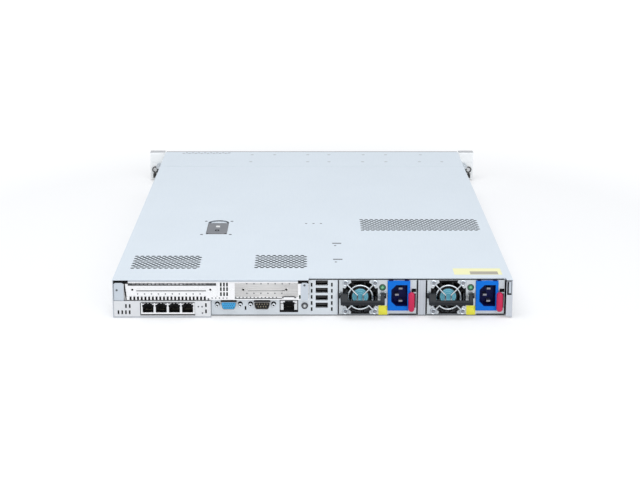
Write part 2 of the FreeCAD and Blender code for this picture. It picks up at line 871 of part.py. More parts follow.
def make_psu_rotor(node, left):
    # Slanted flat blades about a hub, each a thin parallelogram run out along its radius.
    rear = io_recess + fan_set_in
    middle = left + fan_left
    tip_gap = 1.5
    root = fan_hub - tip_gap
    tip = fan_bore - tip_gap
    chord = tip / 3
    thick = 1.4
    margin = 2.0
    rear_y = along(rear + margin)
    front_y = along(rear + rotor_length - margin)
    corners = [vec(-chord, rear_y, root), vec(thick - chord, rear_y, root), vec(chord, front_y, root),
               vec(chord - thick, front_y, root)]
    pieces = [bar_along(24, fan_hub, middle, psu_middle, rear, rear + rotor_length)]
    for step in range(fan_blades):
        blade = face_of(corners).extrude(vec(0, 0, tip - root))
        blade.rotate(vec(0, 0, 0), vec(0, 1, 0), 360 / fan_blades * step)
        blade.translate(vec(across(middle), 0, psu_middle))
        pieces.append(blade)
    eye_rear = rear + rotor_length / 4
    eye = rod_along(fan_shaft + pin_play, middle, psu_middle, eye_rear, rear + rotor_length + past)
    export(node, join(pieces).cut(eye))


def make_psu_inlet(node, pins_node, left):
    rear = io_recess - inlet_proud
    low = psu_low + inlet_low
    start = left + inlet_left
    block = slab(start, start + inlet_width, rear, rear + inlet_depth, low, low + inlet_height)
    middle = start + inlet_width / 2
    centre = low + inlet_height / 2
    half = socket_width / 2
    tall = socket_height / 2
    bevel = socket_bevel
    left_edge = middle - half
    right_edge = middle + half
    foot = centre - tall
    top = centre + tall
    outline = [(left_edge, foot + bevel), (left_edge + bevel, foot), (right_edge, foot), (right_edge, top),
               (left_edge + bevel, top), (left_edge, top - bevel)]
    mouth = rear_profile(outline, rear - past, rear + socket_depth)
    export(node, block.cut(mouth))
    pins = []
    pin_width, pin_height = pin_size
    for shift, rise in pin_places:
        pins.append(middle_slab(middle + shift, pin_width, rear + pin_sink, rear + socket_depth, centre + rise,
                                pin_height))
    export(pins_node, *pins)


def make_psu_handle(node, left):
    # A bail: two arms on the lugs' pins and a grip bar between them.
    first = left + handle_left
    last = left + handle_right
    pieces = [bar_across(12, handle_bar, *handle_grip, first, last)]
    for start in (first, last - handle_arm):
        pieces.append(link(handle_pivot, handle_grip, handle_bar, start, start + handle_arm))
    handle = join(pieces)
    blind = sheet / 2
    eyes = []
    for start, end in ((first - past, first + handle_arm - blind), (last - handle_arm + blind, last + past)):
        eyes.append(rod_across(handle_pin + pin_play, *handle_pivot, start, end))
    export(node, handle.cut(eyes))


def make_psu_release(node, left):
    # A sprung thumb lever: an upright eye on its pin, a flat stem and an oval tab outside.
    middle = left + release_left
    pivot = io_recess + release_pivot
    low = psu_low + release_low + running_gap
    high = low + release_height - 2 * running_gap
    tab_front = io_recess - inlet_proud - jack_proud
    tab_rear = tab_front - release_tab_depth
    eye = bar_up(12, release_eye, middle, pivot, low, high)
    stem = slab(middle - release_stem / 2, middle + release_stem / 2, tab_front, pivot, low, high)
    tab_left = middle - release_tab_shift
    radius = release_tab_width / 2
    tab_middle = tab_left + radius
    centre = psu_low + release_low + release_height / 2
    reach = release_tab_height / 2 - radius
    tab = join([slab(tab_left, tab_left + release_tab_width, tab_rear, tab_front, centre - reach, centre + reach),
                bar_along(16, radius, tab_middle, centre + reach, tab_rear, tab_front),
                bar_along(16, radius, tab_middle, centre - reach, tab_rear, tab_front)])
    lever = join([eye, stem, tab])
    export(node, lever.cut(rod_up(release_pin + pin_play, middle, pivot, low - past, high + past)))


def make_power_supply(number):
    left = psu_first + (number - 1) * psu_pitch
    name = "psu_" + str(number) + "_"
    make_psu_case(name + "case", left)
    make_psu_fan_guard(name + "fan_guard", left)
    make_psu_rotor(name + "rotor", left)
    make_psu_inlet(name + "inlet", name + "pins", left)
    make_psu_handle(name + "handle", left)
    make_psu_release(name + "release", left)


# Access cover and its latch

def vent_holes(left, right, rear, front):
    # A honeycomb of six-sided holes, centred in its field.
    row_pitch = vent_pitch * math.sqrt(3) / 2
    rows = int((front - rear - vent_hole) / row_pitch) + 1
    columns = int((right - left - vent_hole - vent_pitch / 2) / vent_pitch) + 1
    first_left = (left + right) / 2 - (columns - 0.5) * vent_pitch / 2
    first_rear = (rear + front) / 2 - (rows - 1) * row_pitch / 2
    holes = []
    for row in range(rows):
        row_left = first_left + row % 2 * vent_pitch / 2
        row_rear = first_rear + row * row_pitch
        for column in range(columns):
            place = row_left + column * vent_pitch
            holes.append(bar_up(6, vent_hole / 2, place, row_rear, cover_under - past, cover_top + past))
    return holes


def make_access_cover():
    length = chassis_depth - top_panel_depth
    plate = slab(0, body_width, 0, length, cover_under, cover_top)
    step_edge = io_recess - running_gap
    step_right = body_width - end_return
    arc_rear = pan_front - pan_radius
    cuts = [slab(pan_left, pan_right, pan_rear, arc_rear, cover_under - past, cover_top + past)]
    cuts.append(rod_up(pan_radius, (pan_left + pan_right) / 2, arc_rear, cover_under - past, cover_top + past))
    cuts.append(slab(riser_zone, step_right, -past, step_edge, cover_under - past, cover_top + past))
    for field in vent_fields:
        cuts += vent_holes(*field)
    lip = slab(lip_left, riser_zone, 0, sheet, cover_top - cover_lip, cover_under)
    export("access_cover", join([plate.cut(cuts), lip]))
    hooks = []
    foot_top = flange_under - running_gap
    foot_low = foot_top - sheet
    leg_left = flange_width + running_gap
    for place in hook_places:
        end = place + hook_length
        leg = slab(leg_left, leg_left + sheet, place, end, foot_low, cover_under)
        foot = slab(leg_left - hook_reach, leg_left, place, end, foot_low, foot_top)
        hook = join([leg, foot])
        hooks += [hook, mirrored(hook)]
    export("cover_hooks", *hooks)


def make_latch():
    # A pan hung under the cover's opening, and the lift lever on two stub pins in it.
    floor = cover_under - pan_depth
    outer = slab(pan_left - sheet, pan_right + sheet, pan_rear - sheet, pan_front + sheet, floor, cover_under)
    inner = slab(pan_left, pan_right, pan_rear, pan_front, floor + sheet, cover_under + past)
    pieces = [outer.cut(inner)]
    pieces.append(rod_across(latch_pin, *latch_pivot, pan_left - sheet / 2, pan_left + latch_pin_length))
    pieces.append(rod_across(latch_pin, *latch_pivot, pan_right - latch_pin_length, pan_right + sheet / 2))
    export("latch_housing", join(pieces))
    start = latch_left
    end = latch_left + latch_width
    top = cover_top - running_gap
    under = top - latch_thickness
    pieces = [slab(start, end, latch_rear, latch_rear + latch_length, under, top)]
    pivot_rear, pivot_height = latch_pivot
    rib_front = pivot_rear + 2 * latch_eye
    for eye_left in (start, end - latch_eye_width):
        eye_right = eye_left + latch_eye_width
        pieces.append(bar_across(12, latch_eye, *latch_pivot, eye_left, eye_right))
        pieces.append(slab(eye_left, eye_right, pivot_rear - sheet, rib_front, pivot_height, under))
    bores = [rod_across(latch_pin + pin_play, *latch_pivot, start - past, start + latch_eye_width + past),
             rod_across(latch_pin + pin_play, *latch_pivot, end - latch_eye_width - past, end + past)]
    export("cover_latch", join(pieces).cut(bores))


# Drive cage, drives and blanks

def bay_place(column, row):
    left = drive_cage_left + cage_wall + column * bay_pitch
    low = sheet + cage_wall + row * (bay_height + cage_wall)
    return left, low


def all_bays():
    return [(column, row) for column in range(bay_columns) for row in range(bay_rows)]


def make_drive_cage():
    right = drive_cage_left + bay_columns * bay_pitch + cage_wall
    frame = slab(drive_cage_left, right, cage_rear, cage_front, sheet, wall_top)
    cuts = []
    for column, row in all_bays():
        left, low = bay_place(column, row)
        cuts.append(slab(left, left + bay_width, cage_rear - past, cage_front + past, low, low + bay_height))
    export("drive_cage", frame.cut(cuts))


def make_drive_backplane():
    right = drive_cage_left + bay_columns * bay_pitch
    drive_end = bezel_face - drive_length
    plug_height = bay_height / 3
    plug_width = bay_width / 2
    front = drive_end - 2 * plug_height
    rear = front - board_thickness
    pieces = [slab(drive_cage_left, right, rear, front, sheet + seat_gap, wall_top - 3 * sheet)]
    for column, row in all_bays():
        left, low = bay_place(column, row)
        middle = left + bay_width / 2
        centre = low + bay_height / 2
        pieces.append(middle_slab(middle, plug_width, front, drive_end - running_gap, centre, plug_height))
    export("drive_backplane", join(pieces))


def carrier_box(column, row):
    left, low = bay_place(column, row)
    return left + carrier_gap, left + bay_width - carrier_gap, low + carrier_gap, low + bay_height - carrier_gap


def bezel_vents(right, low):
    pitch = bay_height / (bezel_vent_count + 1)
    vent_right = right - rail_groove[0]
    vents = []
    for step in range(1, bezel_vent_count + 1):
        height = low + step * pitch
        vents.append(slab(vent_right - bezel_vent_width, vent_right, bezel_face - blank_face, bezel_face + past,
                          height - pitch / 4, height + pitch / 4))
    return vents


def make_drive(number, column, row):
    left, right, low, high = carrier_box(column, row)
    middle = (low + high) / 2
    half = drive_lever_height / 2
    radius = drive_lever_thickness / 2
    start = left + drive_lever_inset
    pin_left = start + drive_lever_length - radius
    pin_rear = bezel_face - running_gap - radius
    body = slab(left, right, bezel_face - drive_length, bezel_face, low, high)
    cuts = bezel_vents(right, low)
    recess_rear = pin_rear - radius - sheet
    cuts.append(slab(left - past, pin_left + radius + 2 * sheet, recess_rear, bezel_face + past,
                     middle - half - running_gap, middle + half + running_gap))
    groove_depth, groove_height = rail_groove
    rail_rear = bezel_face - drive_length - past
    rail_front = bezel_face - rail_stop
    for edge in (left, right):
        cuts.append(middle_slab(edge, 2 * groove_depth, rail_rear, rail_front, middle, groove_height))
    pin = rod_up(drive_lever_pin, pin_left, pin_rear, middle - half - sheet, middle + half + sheet)
    export("drive_" + str(number), join([body.cut(cuts), pin]))
    bar = slab(start, pin_left, pin_rear - radius, pin_rear + radius, middle - half, middle + half)
    eye = bar_up(12, radius, pin_left, pin_rear, middle - half, middle + half)
    bore = rod_up(drive_lever_pin + pin_play, pin_left, pin_rear, middle - half - past, middle + half + past)
    export("drive_lever_" + str(number), join([bar, eye]).cut(bore))


def make_drive_blanks(bays):
    blanks = []
    for column, row in bays:
        left, right, low, high = carrier_box(column, row)
        rear = bezel_face - blank_depth
        blank = slab(left, right, rear, bezel_face, low, high)
        cuts = [slab(left + blank_wall, right - blank_wall, rear - past, bezel_face - blank_face,
                     low + blank_wall, high - blank_wall)]
        pitch = (right - left) / blank_vents
        for step in range(blank_vents):
            vent = left + pitch * (step + 0.5)
            cuts.append(slab(vent - pitch / 4, vent + pitch / 4, bezel_face - blank_face - past, bezel_face + past,
                             low + blank_face, high - blank_face))
        blanks.append(blank.cut(cuts))
    export("drive_blanks", *blanks)


# Board zone

def make_system_board():
    front = rear_zone + board_zone
    left = sheet + board_edge
    right = body_width - sheet - board_edge
    inner = cage_left - board_edge
    rear = panel_inner + sheet
    network_end = network_length + board_edge
    outline = [(network_zone, rear), (inner, rear), (inner, rear_zone), (right, rear_zone), (right, front),
               (left, front), (left, network_end), (network_zone, network_end)]
    export("system_board", plan_profile(outline, board_low, board_top))


def memory_lefts():
    bank = bank_size * memory_pitch
    lefts = []
    for half in range(2):
        start = side_margin + bank_inset + half * half_pitch
        for bank_start in (start, start + bank + heatsink_width + 2 * sheet):
            lefts += [bank_start + memory_pitch * (step + 0.5) for step in range(bank_size)]
    return lefts


def heatsink_lefts():
    first = side_margin + bank_inset + bank_size * memory_pitch + sheet
    return first, first + half_pitch


def make_memory():
    width, tall, floor = memory_socket
    half = width / 2
    slot = memory_thickness / 2 + seat_gap / 2
    top = board_top + tall
    module_low = board_top + floor
    sockets = []
    modules = []
    for step, left in enumerate(memory_lefts()):
        outline = [(left - half, board_top), (left + half, board_top), (left + half, top), (left + slot, top),
                   (left + slot, module_low), (left - slot, module_low), (left - slot, top), (left - half, top)]
        sockets.append(rear_profile(outline, memory_rear - half, memory_rear + memory_length + half))
        if step % module_every == 0:
            modules.append(slab(left - memory_thickness / 2, left + memory_thickness / 2, memory_rear,
                                memory_rear + memory_length, module_low, module_low + memory_height))
    export("memory_sockets", *sockets)
    export("memory_modules", *modules)


def make_processors():
    width, length, tall = processor_size
    base_low = board_top + tall
    base_top = base_low + heatsink_base
    fin_top = panel_top - heatsink_base
    fin_pitch = (heatsink_width - fin_thickness) / (fin_count - 1)
    middle_rear = memory_rear + memory_length / 2
    processors = []
    sinks = []
    for left in heatsink_lefts():
        middle = left + heatsink_width / 2
        processors.append(middle_slab(middle, width, middle_rear - length / 2, middle_rear + length / 2,
                                      board_top + tall / 2, tall))
        outline = [(left, base_low), (left + heatsink_width, base_low)]
        for fin in reversed(range(fin_count)):
            fin_left = left + fin * fin_pitch
            fin_right = fin_left + fin_thickness
            outline += [(fin_right, base_top), (fin_right, fin_top), (fin_left, fin_top), (fin_left, base_top)]
        del outline[2], outline[-1]
        sinks.append(rear_profile(outline, middle_rear - heatsink_length / 2, middle_rear + heatsink_length / 2))
    export("processors", *processors)
    export("heatsinks", *sinks)


def make_air_baffle():
    rear = rear_zone + baffle_setback
    top = panel_top
    left = side_margin
    right = body_width - side_margin
    low = board_top + seat_gap
    middle = body_width / 2
    skin = baffle_skin
    half = skin / 2
    outline = [(left, low), (left + skin, low), (left + skin, top - skin), (middle - half, top - skin),
               (middle - half, low), (middle + half, low), (middle + half, top - skin),
               (right - skin, top - skin), (right - skin, low), (right, low), (right, top), (left, top)]
    export("air_baffle", rear_profile(outline, rear, rear + baffle_length))


def paddle_points(left, height, tip):
    # A hub with straight blades as one outline: two corners at the hub and two at the tip for each blade.
    points = []
    for blade in range(fan_module_blades):
        middle = 2 * math.pi * blade / fan_module_blades
        for radius, side in ((fan_motor, -1), (tip, -1), (tip, 1), (fan_motor, 1)):
            turn = middle + math.asin(side * sheet / radius)
            points.append((left + radius * math.cos(turn), height + radius * math.sin(turn)))
    return points


def make_fan_modules():
    rear = rear_zone + board_zone + 2 * sheet
    front = rear + fan_length
    pitch = (body_width - 2 * side_margin) / fan_count
    low = sheet + seat_gap
    high = panel_top - seat_gap
    middle = (low + high) / 2
    bore = (high - low) / 2 - sheet
    hub_rear = rear + sheet
    strut_front = rear + 4 * sheet
    modules = []
    for step in range(fan_count):
        centre = side_margin + pitch * (step + 0.5)
        frame = slab(centre - fan_frame / 2, centre + fan_frame / 2, rear, front, low, high)
        frame = frame.cut(bar_along(12, bore, centre, middle, rear - past, front + past))
        strut = middle_slab(centre, 2 * bore + sheet, rear, strut_front, middle, 2 * sheet)
        rotor = rear_profile(paddle_points(centre, middle, bore - sheet), hub_rear, hub_rear + fan_motor_length)
        modules.append(join([frame, strut, rotor]))
    export("fan_modules", *modules)


# Front controls and rack ears

def make_front_panel():
    rear = cage_front
    front = bezel_face - sheet
    left = sheet + seat_gap
    right = drive_cage_left - seat_gap
    low = sheet + seat_gap
    high = cover_under - seat_gap
    margin = 3.0
    button_height = low + power_button_rise
    panel = slab(left, right, rear, front, low, high)
    hole = power_button_radius + running_gap
    cuts = [bar_along(24, hole, power_button_left, button_height, rear - past, front + past)]
    media_high = high - margin
    media_low = media_high - media_height
    media_rear = front - media_inset
    cuts.append(slab(left + margin, right - margin, media_rear, front + past, media_low, media_high))
    for place in front_usb_lefts:
        cuts.append(slab(place, place + usb_width, rear + sheet, front + past,
                         button_height - usb_height / 2, button_height + usb_height / 2))
    vent_low = low + 2 * margin
    vent_top = media_low - margin
    for step in range(front_vent_count):
        vent = front_vent_left + step * front_vent_pitch
        cuts.append(slab(vent, vent + front_vent_pitch / 2, rear - past, front + past, vent_low, vent_top))
    side = margin + running_gap
    blank = slab(left + side, right - side, media_rear, front - seat_gap, media_low + running_gap,
                 media_high - running_gap)
    export("front_panel", join([panel.cut(cuts), blank]))
    collar_front = rear - running_gap
    collar_rear = collar_front - power_button_collar
    cap = bar_along(24, power_button_radius, power_button_left, button_height, collar_rear, front + jack_proud)
    collar_radius = power_button_radius + 2 * sheet
    collar = bar_along(16, collar_radius, power_button_left, button_height, collar_rear, collar_front)
    export("power_button", join([cap, collar]))


def ear_slab(near, far, rear, front, low, high):
    # Distances out from the body's left wall.
    return slab(-far, -near, rear, front, low, high)


def make_rack_ears():
    low = sheet
    high = cover_under
    rear = chassis_depth
    face = chassis_depth + ear_reach
    pin_out, pin_in = ear_pin_inset
    pivot = (pin_out - ear_width, face - pin_in)
    pin_margin = 3.0
    screw_out, screw_rise = ear_screw_place
    knob_radius, knob_length = ear_screw_knob
    flange = ear_slab(0, ear_width, rear, rear + ear_flange, low, high)
    inner = ear_strap_sheet
    front_corner = face - ear_chamfer
    outline = [(-inner, rear), (-ear_width, rear), (-ear_width, front_corner), (ear_chamfer - ear_width, face),
               (-inner - ear_chamfer, face), (-inner, front_corner)]
    housing = plan_profile(outline, low, high)
    strap = ear_slab(0, inner, rear - ear_strap, rear + ear_flange, low + ear_margin, high - ear_margin)
    floor = face - ear_recess
    recess = ear_slab(ear_margin, ear_width - inner, floor, face + past, low + ear_margin, high - ear_margin)
    near, far, foot, top = ear_window
    window = ear_slab(near, far, rear - past, floor + past, low + foot, low + top)
    pin = rod_up(ear_pin, *pivot, low + pin_margin, high - pin_margin)
    pad_low = low + screw_rise + knob_radius + ear_pad_margin
    pad = ear_slab(ear_margin, ear_width - ear_pad_margin, rear - ear_pad, rear, pad_low, high - ear_pad_margin)
    ear = join([join([flange, housing, strap, pad]).cut([recess, window]), pin])
    export("rack_ears", ear, mirrored(ear))
    lever_low = low + ear_margin + running_gap
    lever_high = high - ear_margin - running_gap
    paddle = ear_slab(ear_margin + sheet, ear_width - pin_out, floor + sheet, face - sheet, lever_low, lever_high)
    eye = bar_up(12, ear_lever_eye, *pivot, lever_low, lever_high)
    arm = plan_profile([(-out, rear - back) for out, back in ear_hook], lever_low, low + top - sheet)
    bore = rod_up(ear_pin + pin_play, *pivot, lever_low - past, lever_high + past)
    lever = join([paddle, eye, arm]).cut(bore)
    export("left_ear_lever", lever)
    export("right_ear_lever", mirrored(lever))
    tip_radius, tip_length = ear_screw_tip
    tip_front = rear - knob_length
    knob = bar_along(16, knob_radius, -screw_out, low + screw_rise, tip_front, rear)
    tip = bar_along(12, tip_radius, -screw_out, low + screw_rise, tip_front - tip_length, tip_front)
    screw = join([knob, tip])
    export("ear_screws", screw, mirrored(screw))


os.makedirs("parts", exist_ok=True)
make_chassis_tray()
make_front_top_panel()
make_rail_studs()
make_rear_panel()
make_d_subs()
make_management_jack()
make_usb_ports()
make_rear_id_button()
make_network_card()
make_riser()
make_slot_cover("full_height_slot_cover", full_slot, full_hole_margins)
make_slot_cover("low_profile_slot_cover", half_slot, half_hole_margins)
make_psu_cage()
make_power_backplane()
for psu_number in range(1, psu_count + 1):
    make_power_supply(psu_number)
make_access_cover()
make_latch()
make_drive_cage()
make_drive_backplane()
filled_bays = [(column, row) for column in (3, 2) for row in (1, 0)]
empty_bays = [(column, row) for column in (1, 0) for row in (1, 0)]
for drive_number, (drive_column, drive_row) in enumerate(filled_bays, 1):
    make_drive(drive_number, drive_column, drive_row)
make_drive_blanks(empty_bays)
make_system_board()
make_memory()
make_processors()
make_air_baffle()
make_fan_modules()
make_front_panel()
make_rack_ears()
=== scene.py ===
import math

import bmesh
import bpy
from mathutils import Matrix, Vector


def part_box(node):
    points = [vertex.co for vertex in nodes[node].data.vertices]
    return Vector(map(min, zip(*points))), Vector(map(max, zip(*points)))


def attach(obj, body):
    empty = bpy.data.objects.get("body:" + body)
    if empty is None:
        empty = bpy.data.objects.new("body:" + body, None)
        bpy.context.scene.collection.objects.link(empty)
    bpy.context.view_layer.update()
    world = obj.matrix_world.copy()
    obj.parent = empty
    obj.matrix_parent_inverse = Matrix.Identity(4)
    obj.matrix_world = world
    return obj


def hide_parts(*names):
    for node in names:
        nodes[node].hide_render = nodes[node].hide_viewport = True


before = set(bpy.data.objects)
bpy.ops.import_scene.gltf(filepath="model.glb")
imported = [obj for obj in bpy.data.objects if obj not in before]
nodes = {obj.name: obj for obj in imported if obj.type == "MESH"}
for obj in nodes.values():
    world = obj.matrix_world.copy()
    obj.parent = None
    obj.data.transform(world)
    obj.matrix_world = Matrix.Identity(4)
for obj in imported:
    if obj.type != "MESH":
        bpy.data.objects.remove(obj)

mm = 0.001
scene = bpy.context.scene
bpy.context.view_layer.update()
coverLow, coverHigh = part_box("access_cover")
bodyLeft = coverHigh.x  # left wall as seen from behind
rearEdge = coverHigh.y  # the cover's rear edge
bodyWidth = (coverHigh.x - coverLow.x) / mm
coverTop = coverHigh.z / mm
panelInset = (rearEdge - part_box("rear_panel")[1].y) / mm  # the connector panel lies this far in
smoothAngle = math.radians(32)
print("frame loaded:", len(nodes), "nodes")


# Mesh helpers: places are millimetres from the left wall, forward of the rear edge and up,
# and a box is (left, right, rear, front, low, high)

axisTurns = {
    "up": Matrix.Identity(4),
    "along": Matrix.Rotation(math.radians(-90), 4, "X"),
    "front": Matrix.Rotation(math.radians(90), 4, "X"),
    "across": Matrix.Rotation(math.radians(90), 4, "Y"),
}
screwShape = {"sides": 24, "crown": 0.82, "drive": 0.42, "sunk": 0.7}  # shares of the radius and the height


def spot(left, rear, height):
    return Vector((bodyLeft - left * mm, rearEdge - rear * mm, height * mm))


def fromLeft(x):
    return (bodyLeft - x) / mm


def fromRear(y):
    return (rearEdge - y) / mm


def mirrored(left, right, *rest):
    return bodyWidth - right, bodyWidth - left, *rest


def onPanel(left, right, rear, front, low, high):
    return left, right, panelInset + rear, panelInset + front, low, high


def series(first, pitch, count):
    return [first + step * pitch for step in range(count)]


def centred(middle, pitch, count):
    return series(middle - (count - 1) / 2 * pitch, pitch, count)


def placed(centre, axis):
    return Matrix.Translation(centre) @ axisTurns[axis]


def edgesOf(verts):
    return list({edge for vert in verts for edge in vert.link_edges})


def block(bm, left, right, rear, front, low, high):
    lowCorner = spot(right, front, low)
    highCorner = spot(left, rear, high)
    made = bmesh.ops.create_cube(bm, size=1.0)["verts"]
    bmesh.ops.scale(bm, vec=highCorner - lowCorner, verts=made)
    bmesh.ops.translate(bm, vec=(lowCorner + highCorner) / 2, verts=made)
    return made


def rim(bm, left, right, rear, front, low, high, edge):
    # four bars round an opening
    for start, end, foot, head in ((left, right, low, low + edge), (left, right, high - edge, high),
                                   (left, left + edge, low + edge, high - edge),
                                   (right - edge, right, low + edge, high - edge)):
        block(bm, start, end, rear, front, foot, head)


def rod(bm, centre, axis, radius, length, sides, endRadius=None):
    tip = radius if endRadius is None else endRadius
    return bmesh.ops.create_cone(bm, cap_ends=True, segments=sides, radius1=radius * mm, radius2=tip * mm,
                                 depth=length * mm, matrix=placed(centre, axis))["verts"]


def dome(bm, centre, axis, radius, rise, sides=16, rings=8):
    flattened = placed(centre, axis) @ Matrix.Diagonal((1, 1, rise / radius, 1))
    bmesh.ops.create_uvsphere(bm, u_segments=sides, v_segments=rings, radius=radius * mm, matrix=flattened)


def hoop(bm, centre, axis, ringRadius, wireRadius, steps=40, sides=10):
    older = set(bm.verts)
    start = placed((ringRadius * mm, 0, 0), "front")
    made = bmesh.ops.create_circle(bm, segments=sides, radius=wireRadius * mm, matrix=start)["verts"]
    bmesh.ops.spin(bm, geom=made + edgesOf(made), cent=(0, 0, 0), axis=(0, 0, 1), angle=2 * math.pi,
                   steps=steps, use_merge=True, use_duplicate=False)
    ring = [vert for vert in bm.verts if vert not in older]
    bmesh.ops.transform(bm, matrix=placed(centre, axis), verts=ring)


def wrapped(bm, circles, flat=0.02):
    # a skin pulled tight round a few circles, each (centre, axis, radius, sides)
    verts = []
    for centre, axis, radius, sides in circles:
        place = placed(centre, axis)
        verts += bmesh.ops.create_circle(bm, segments=sides, radius=radius * mm, matrix=place)["verts"]
    hull = bmesh.ops.convex_hull(bm, input=verts)
    spare = [item for item in hull["geom_interior"] if isinstance(item, bmesh.types.BMVert)]
    bmesh.ops.delete(bm, geom=spare, context="VERTS")
    kept = [vert for vert in verts if vert.is_valid]
    bmesh.ops.dissolve_limit(bm, angle_limit=flat, verts=kept, edges=edgesOf(kept))


def bevelled(bm, edges, width, segments):
    bmesh.ops.bevel(bm, geom=edges, offset=width * mm, segments=segments, profile=0.5, affect="EDGES",
                    material=-1)


def soften(bm, width, segments=2, verts=None, sharpest=0.6):
    pool = bm.edges if verts is None else edgesOf(verts)
    edges = [edge for edge in pool if len(edge.link_faces) == 2 and edge.calc_face_angle() > sharpest]
    bevelled(bm, edges, width, segments)


def screwHead(bm, centre, axis, radius, height):
    # a tapered head with a recess pressed into its top
    made = rod(bm, centre, axis, radius, height, screwShape["sides"], radius * screwShape["crown"])
    outward = axisTurns[axis] @ Vector((0, 0, 1))
    faces = {face for vert in made for face in vert.link_faces}
    top = max(faces, key=lambda face: face.calc_center_median().dot(outward))
    bmesh.ops.inset_region(bm, faces=[top], thickness=radius * screwShape["drive"] * mm)
    bmesh.ops.translate(bm, vec=-outward * height * screwShape["sunk"] * mm, verts=top.verts)


def carve(bm, cutter):
    # the cutter is taken out of the shape, and both are spent
    pair = []
    for part in (bm, cutter):
        bmesh.ops.recalc_face_normals(part, faces=part.faces)
        mesh = bpy.data.meshes.new("carving")
        part.to_mesh(mesh)
        part.free()
        pair.append(bpy.data.objects.new("carving", mesh))
        scene.collection.objects.link(pair[-1])
    trim = pair[0].modifiers.new("carve", "BOOLEAN")
    trim.operation = "DIFFERENCE"
    trim.solver = "EXACT"
    trim.object = pair[1]
    bpy.context.view_layer.update()
    graph = bpy.context.evaluated_depsgraph_get()
    result = bpy.data.meshes.new_from_object(pair[0].evaluated_get(graph))
    carved = bmesh.new()
    carved.from_mesh(result)
    bpy.data.meshes.remove(result)
    for spent in pair:
        bpy.data.objects.remove(spent)
    return carved


def finishPiece(name, bm, body, finish, stands=(), smooth=True, second=None):
    bmesh.ops.recalc_face_normals(bm, faces=bm.faces)
    mesh = bpy.data.meshes.new(name)
    bm.to_mesh(mesh)
    bm.free()
    if smooth:
        mesh.shade_smooth()
        mesh.set_sharp_from_angle(angle=smoothAngle)
    mesh.materials.append(finishes[finish])
    if second:
        mesh.materials.append(finishes[second])
    piece = bpy.data.objects.new(name, mesh)
    scene.collection.objects.link(piece)
    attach(piece, body)
    if stands:
        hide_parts(*stands)


# A piece is a list of shapes, each (maker, *sizes) with a maker from above or a section's own

def softBlock(bm, edge, segments, *box):
    soften(bm, edge, segments, block(bm, *box))


def softRod(bm, edge, *sizes):
    soften(bm, edge, 1, rod(bm, *sizes))


def blocks(boxes):
    return [(block, *box) for box in boxes]


def shaped(shapes):
    bm = bmesh.new()
    for maker, *sizes in shapes:
        maker(bm, *sizes)
    return bm


def makePiece(name, slotName, finish, shapes, body="chassis", edge=0.0, smooth=True, stands=(), cuts=()):
    # edge softens every edge of the shapes, and each cut is a list of shapes to take out of them
    bm = shaped(shapes)
    if edge:
        soften(bm, edge)
    for cut in cuts:
        bm = carve(bm, shaped(cut))
    finishPiece(name, bm, body, finish, stands, smooth)


# Shader nodes and the shared groups

lengthwise, crosswise = (1.0, 0.06, 1.0), (0.06, 1.0, 1.0)  # ways that the grain runs
upright, even = (1.0, 1.0, 0.08), (1.0, 1.0, 1.0)
skins = {
    "streakDetail": 4.0, "blotchDetail": 5.0, "streakShare": 0.45,  # rolled sheet
    "fineDetail": 2.0, "toneScale": 60.0, "toneDetail": 4.0,  # moulded plastic
    "hazeSpan": (0.3, 0.7),  # the range of the noise that sets the roughness
    "relief": {"sheet": 0.02, "mould": 0.03},
}


def plug(tree, target, inputs):
    # an output is linked to its socket, and a plain number or colour is set on it
    for key, value in inputs.items():
        socket = target.inputs[key]
        if isinstance(value, bpy.types.NodeSocket):
            tree.links.new(value, socket)
        else:
            socket.default_value = (*value, 1.0) if socket.type == "RGBA" else value


def node(tree, kind, inputs=None, **values):
    made = tree.nodes.new(kind)
    for key, value in values.items():
        setattr(made, key, value)
    plug(tree, made, inputs or {})
    return made


def mathNode(tree, operation, *values):
    return node(tree, "ShaderNodeMath", dict(enumerate(values)), operation=operation).outputs[0]


def noiseOn(tree, vector, scale, detail):
    settings = {"Vector": vector, "Scale": scale, "Detail": detail}
    return node(tree, "ShaderNodeTexNoise", settings).outputs["Fac"]


def remapped(tree, value, fromLow, fromHigh, toLow=0.0, toHigh=1.0):
    limits = {"Value": value, "From Min": fromLow, "From Max": fromHigh, "To Min": toLow, "To Max": toHigh}
    return node(tree, "ShaderNodeMapRange", limits).outputs["Result"]


def mixColours(tree, factor, first, second):
    # sockets 6 and 7 take the two colours
    return node(tree, "ShaderNodeMix", {0: factor, 6: first, 7: second}, data_type="RGBA").outputs[2]


def objectCoords(tree):
    return node(tree, "ShaderNodeTexCoord").outputs["Object"]


def newGroup(name, inputs, outputs=("Tint", "Haze", "Height")):
    tree = bpy.data.node_groups.new(name, "ShaderNodeTree")
    for label, value in inputs.items():
        kind = "NodeSocketVector" if isinstance(value, tuple) else "NodeSocketFloat"
        tree.interface.new_socket(name=label, in_out="INPUT", socket_type=kind).default_value = value
    for label in outputs:
        tree.interface.new_socket(name=label, in_out="OUTPUT", socket_type="NodeSocketFloat")
    return tree, tree.nodes.new("NodeGroupInput"), tree.nodes.new("NodeGroupOutput")


def rolledSheetGroup():
    # rolled and plated sheet: fine streaks along the rolling direction and wide handling blotches
    tree, entry, leave = newGroup("rolledSheet", {"Stretch": lengthwise, "Grain": 900.0, "Blotch": 16.0})
    coords = objectCoords(tree)
    pull = node(tree, "ShaderNodeVectorMath", {0: coords, 1: entry.outputs["Stretch"]}, operation="MULTIPLY")
    streak = noiseOn(tree, pull.outputs[0], entry.outputs["Grain"], skins["streakDetail"])
    blotch = noiseOn(tree, coords, entry.outputs["Blotch"], skins["blotchDetail"])
    share = skins["streakShare"]
    tint = mathNode(tree, "MULTIPLY_ADD", streak, share, mathNode(tree, "MULTIPLY", blotch, 1.0 - share))
    plug(tree, leave, {"Tint": tint, "Haze": blotch, "Height": streak})
    return tree


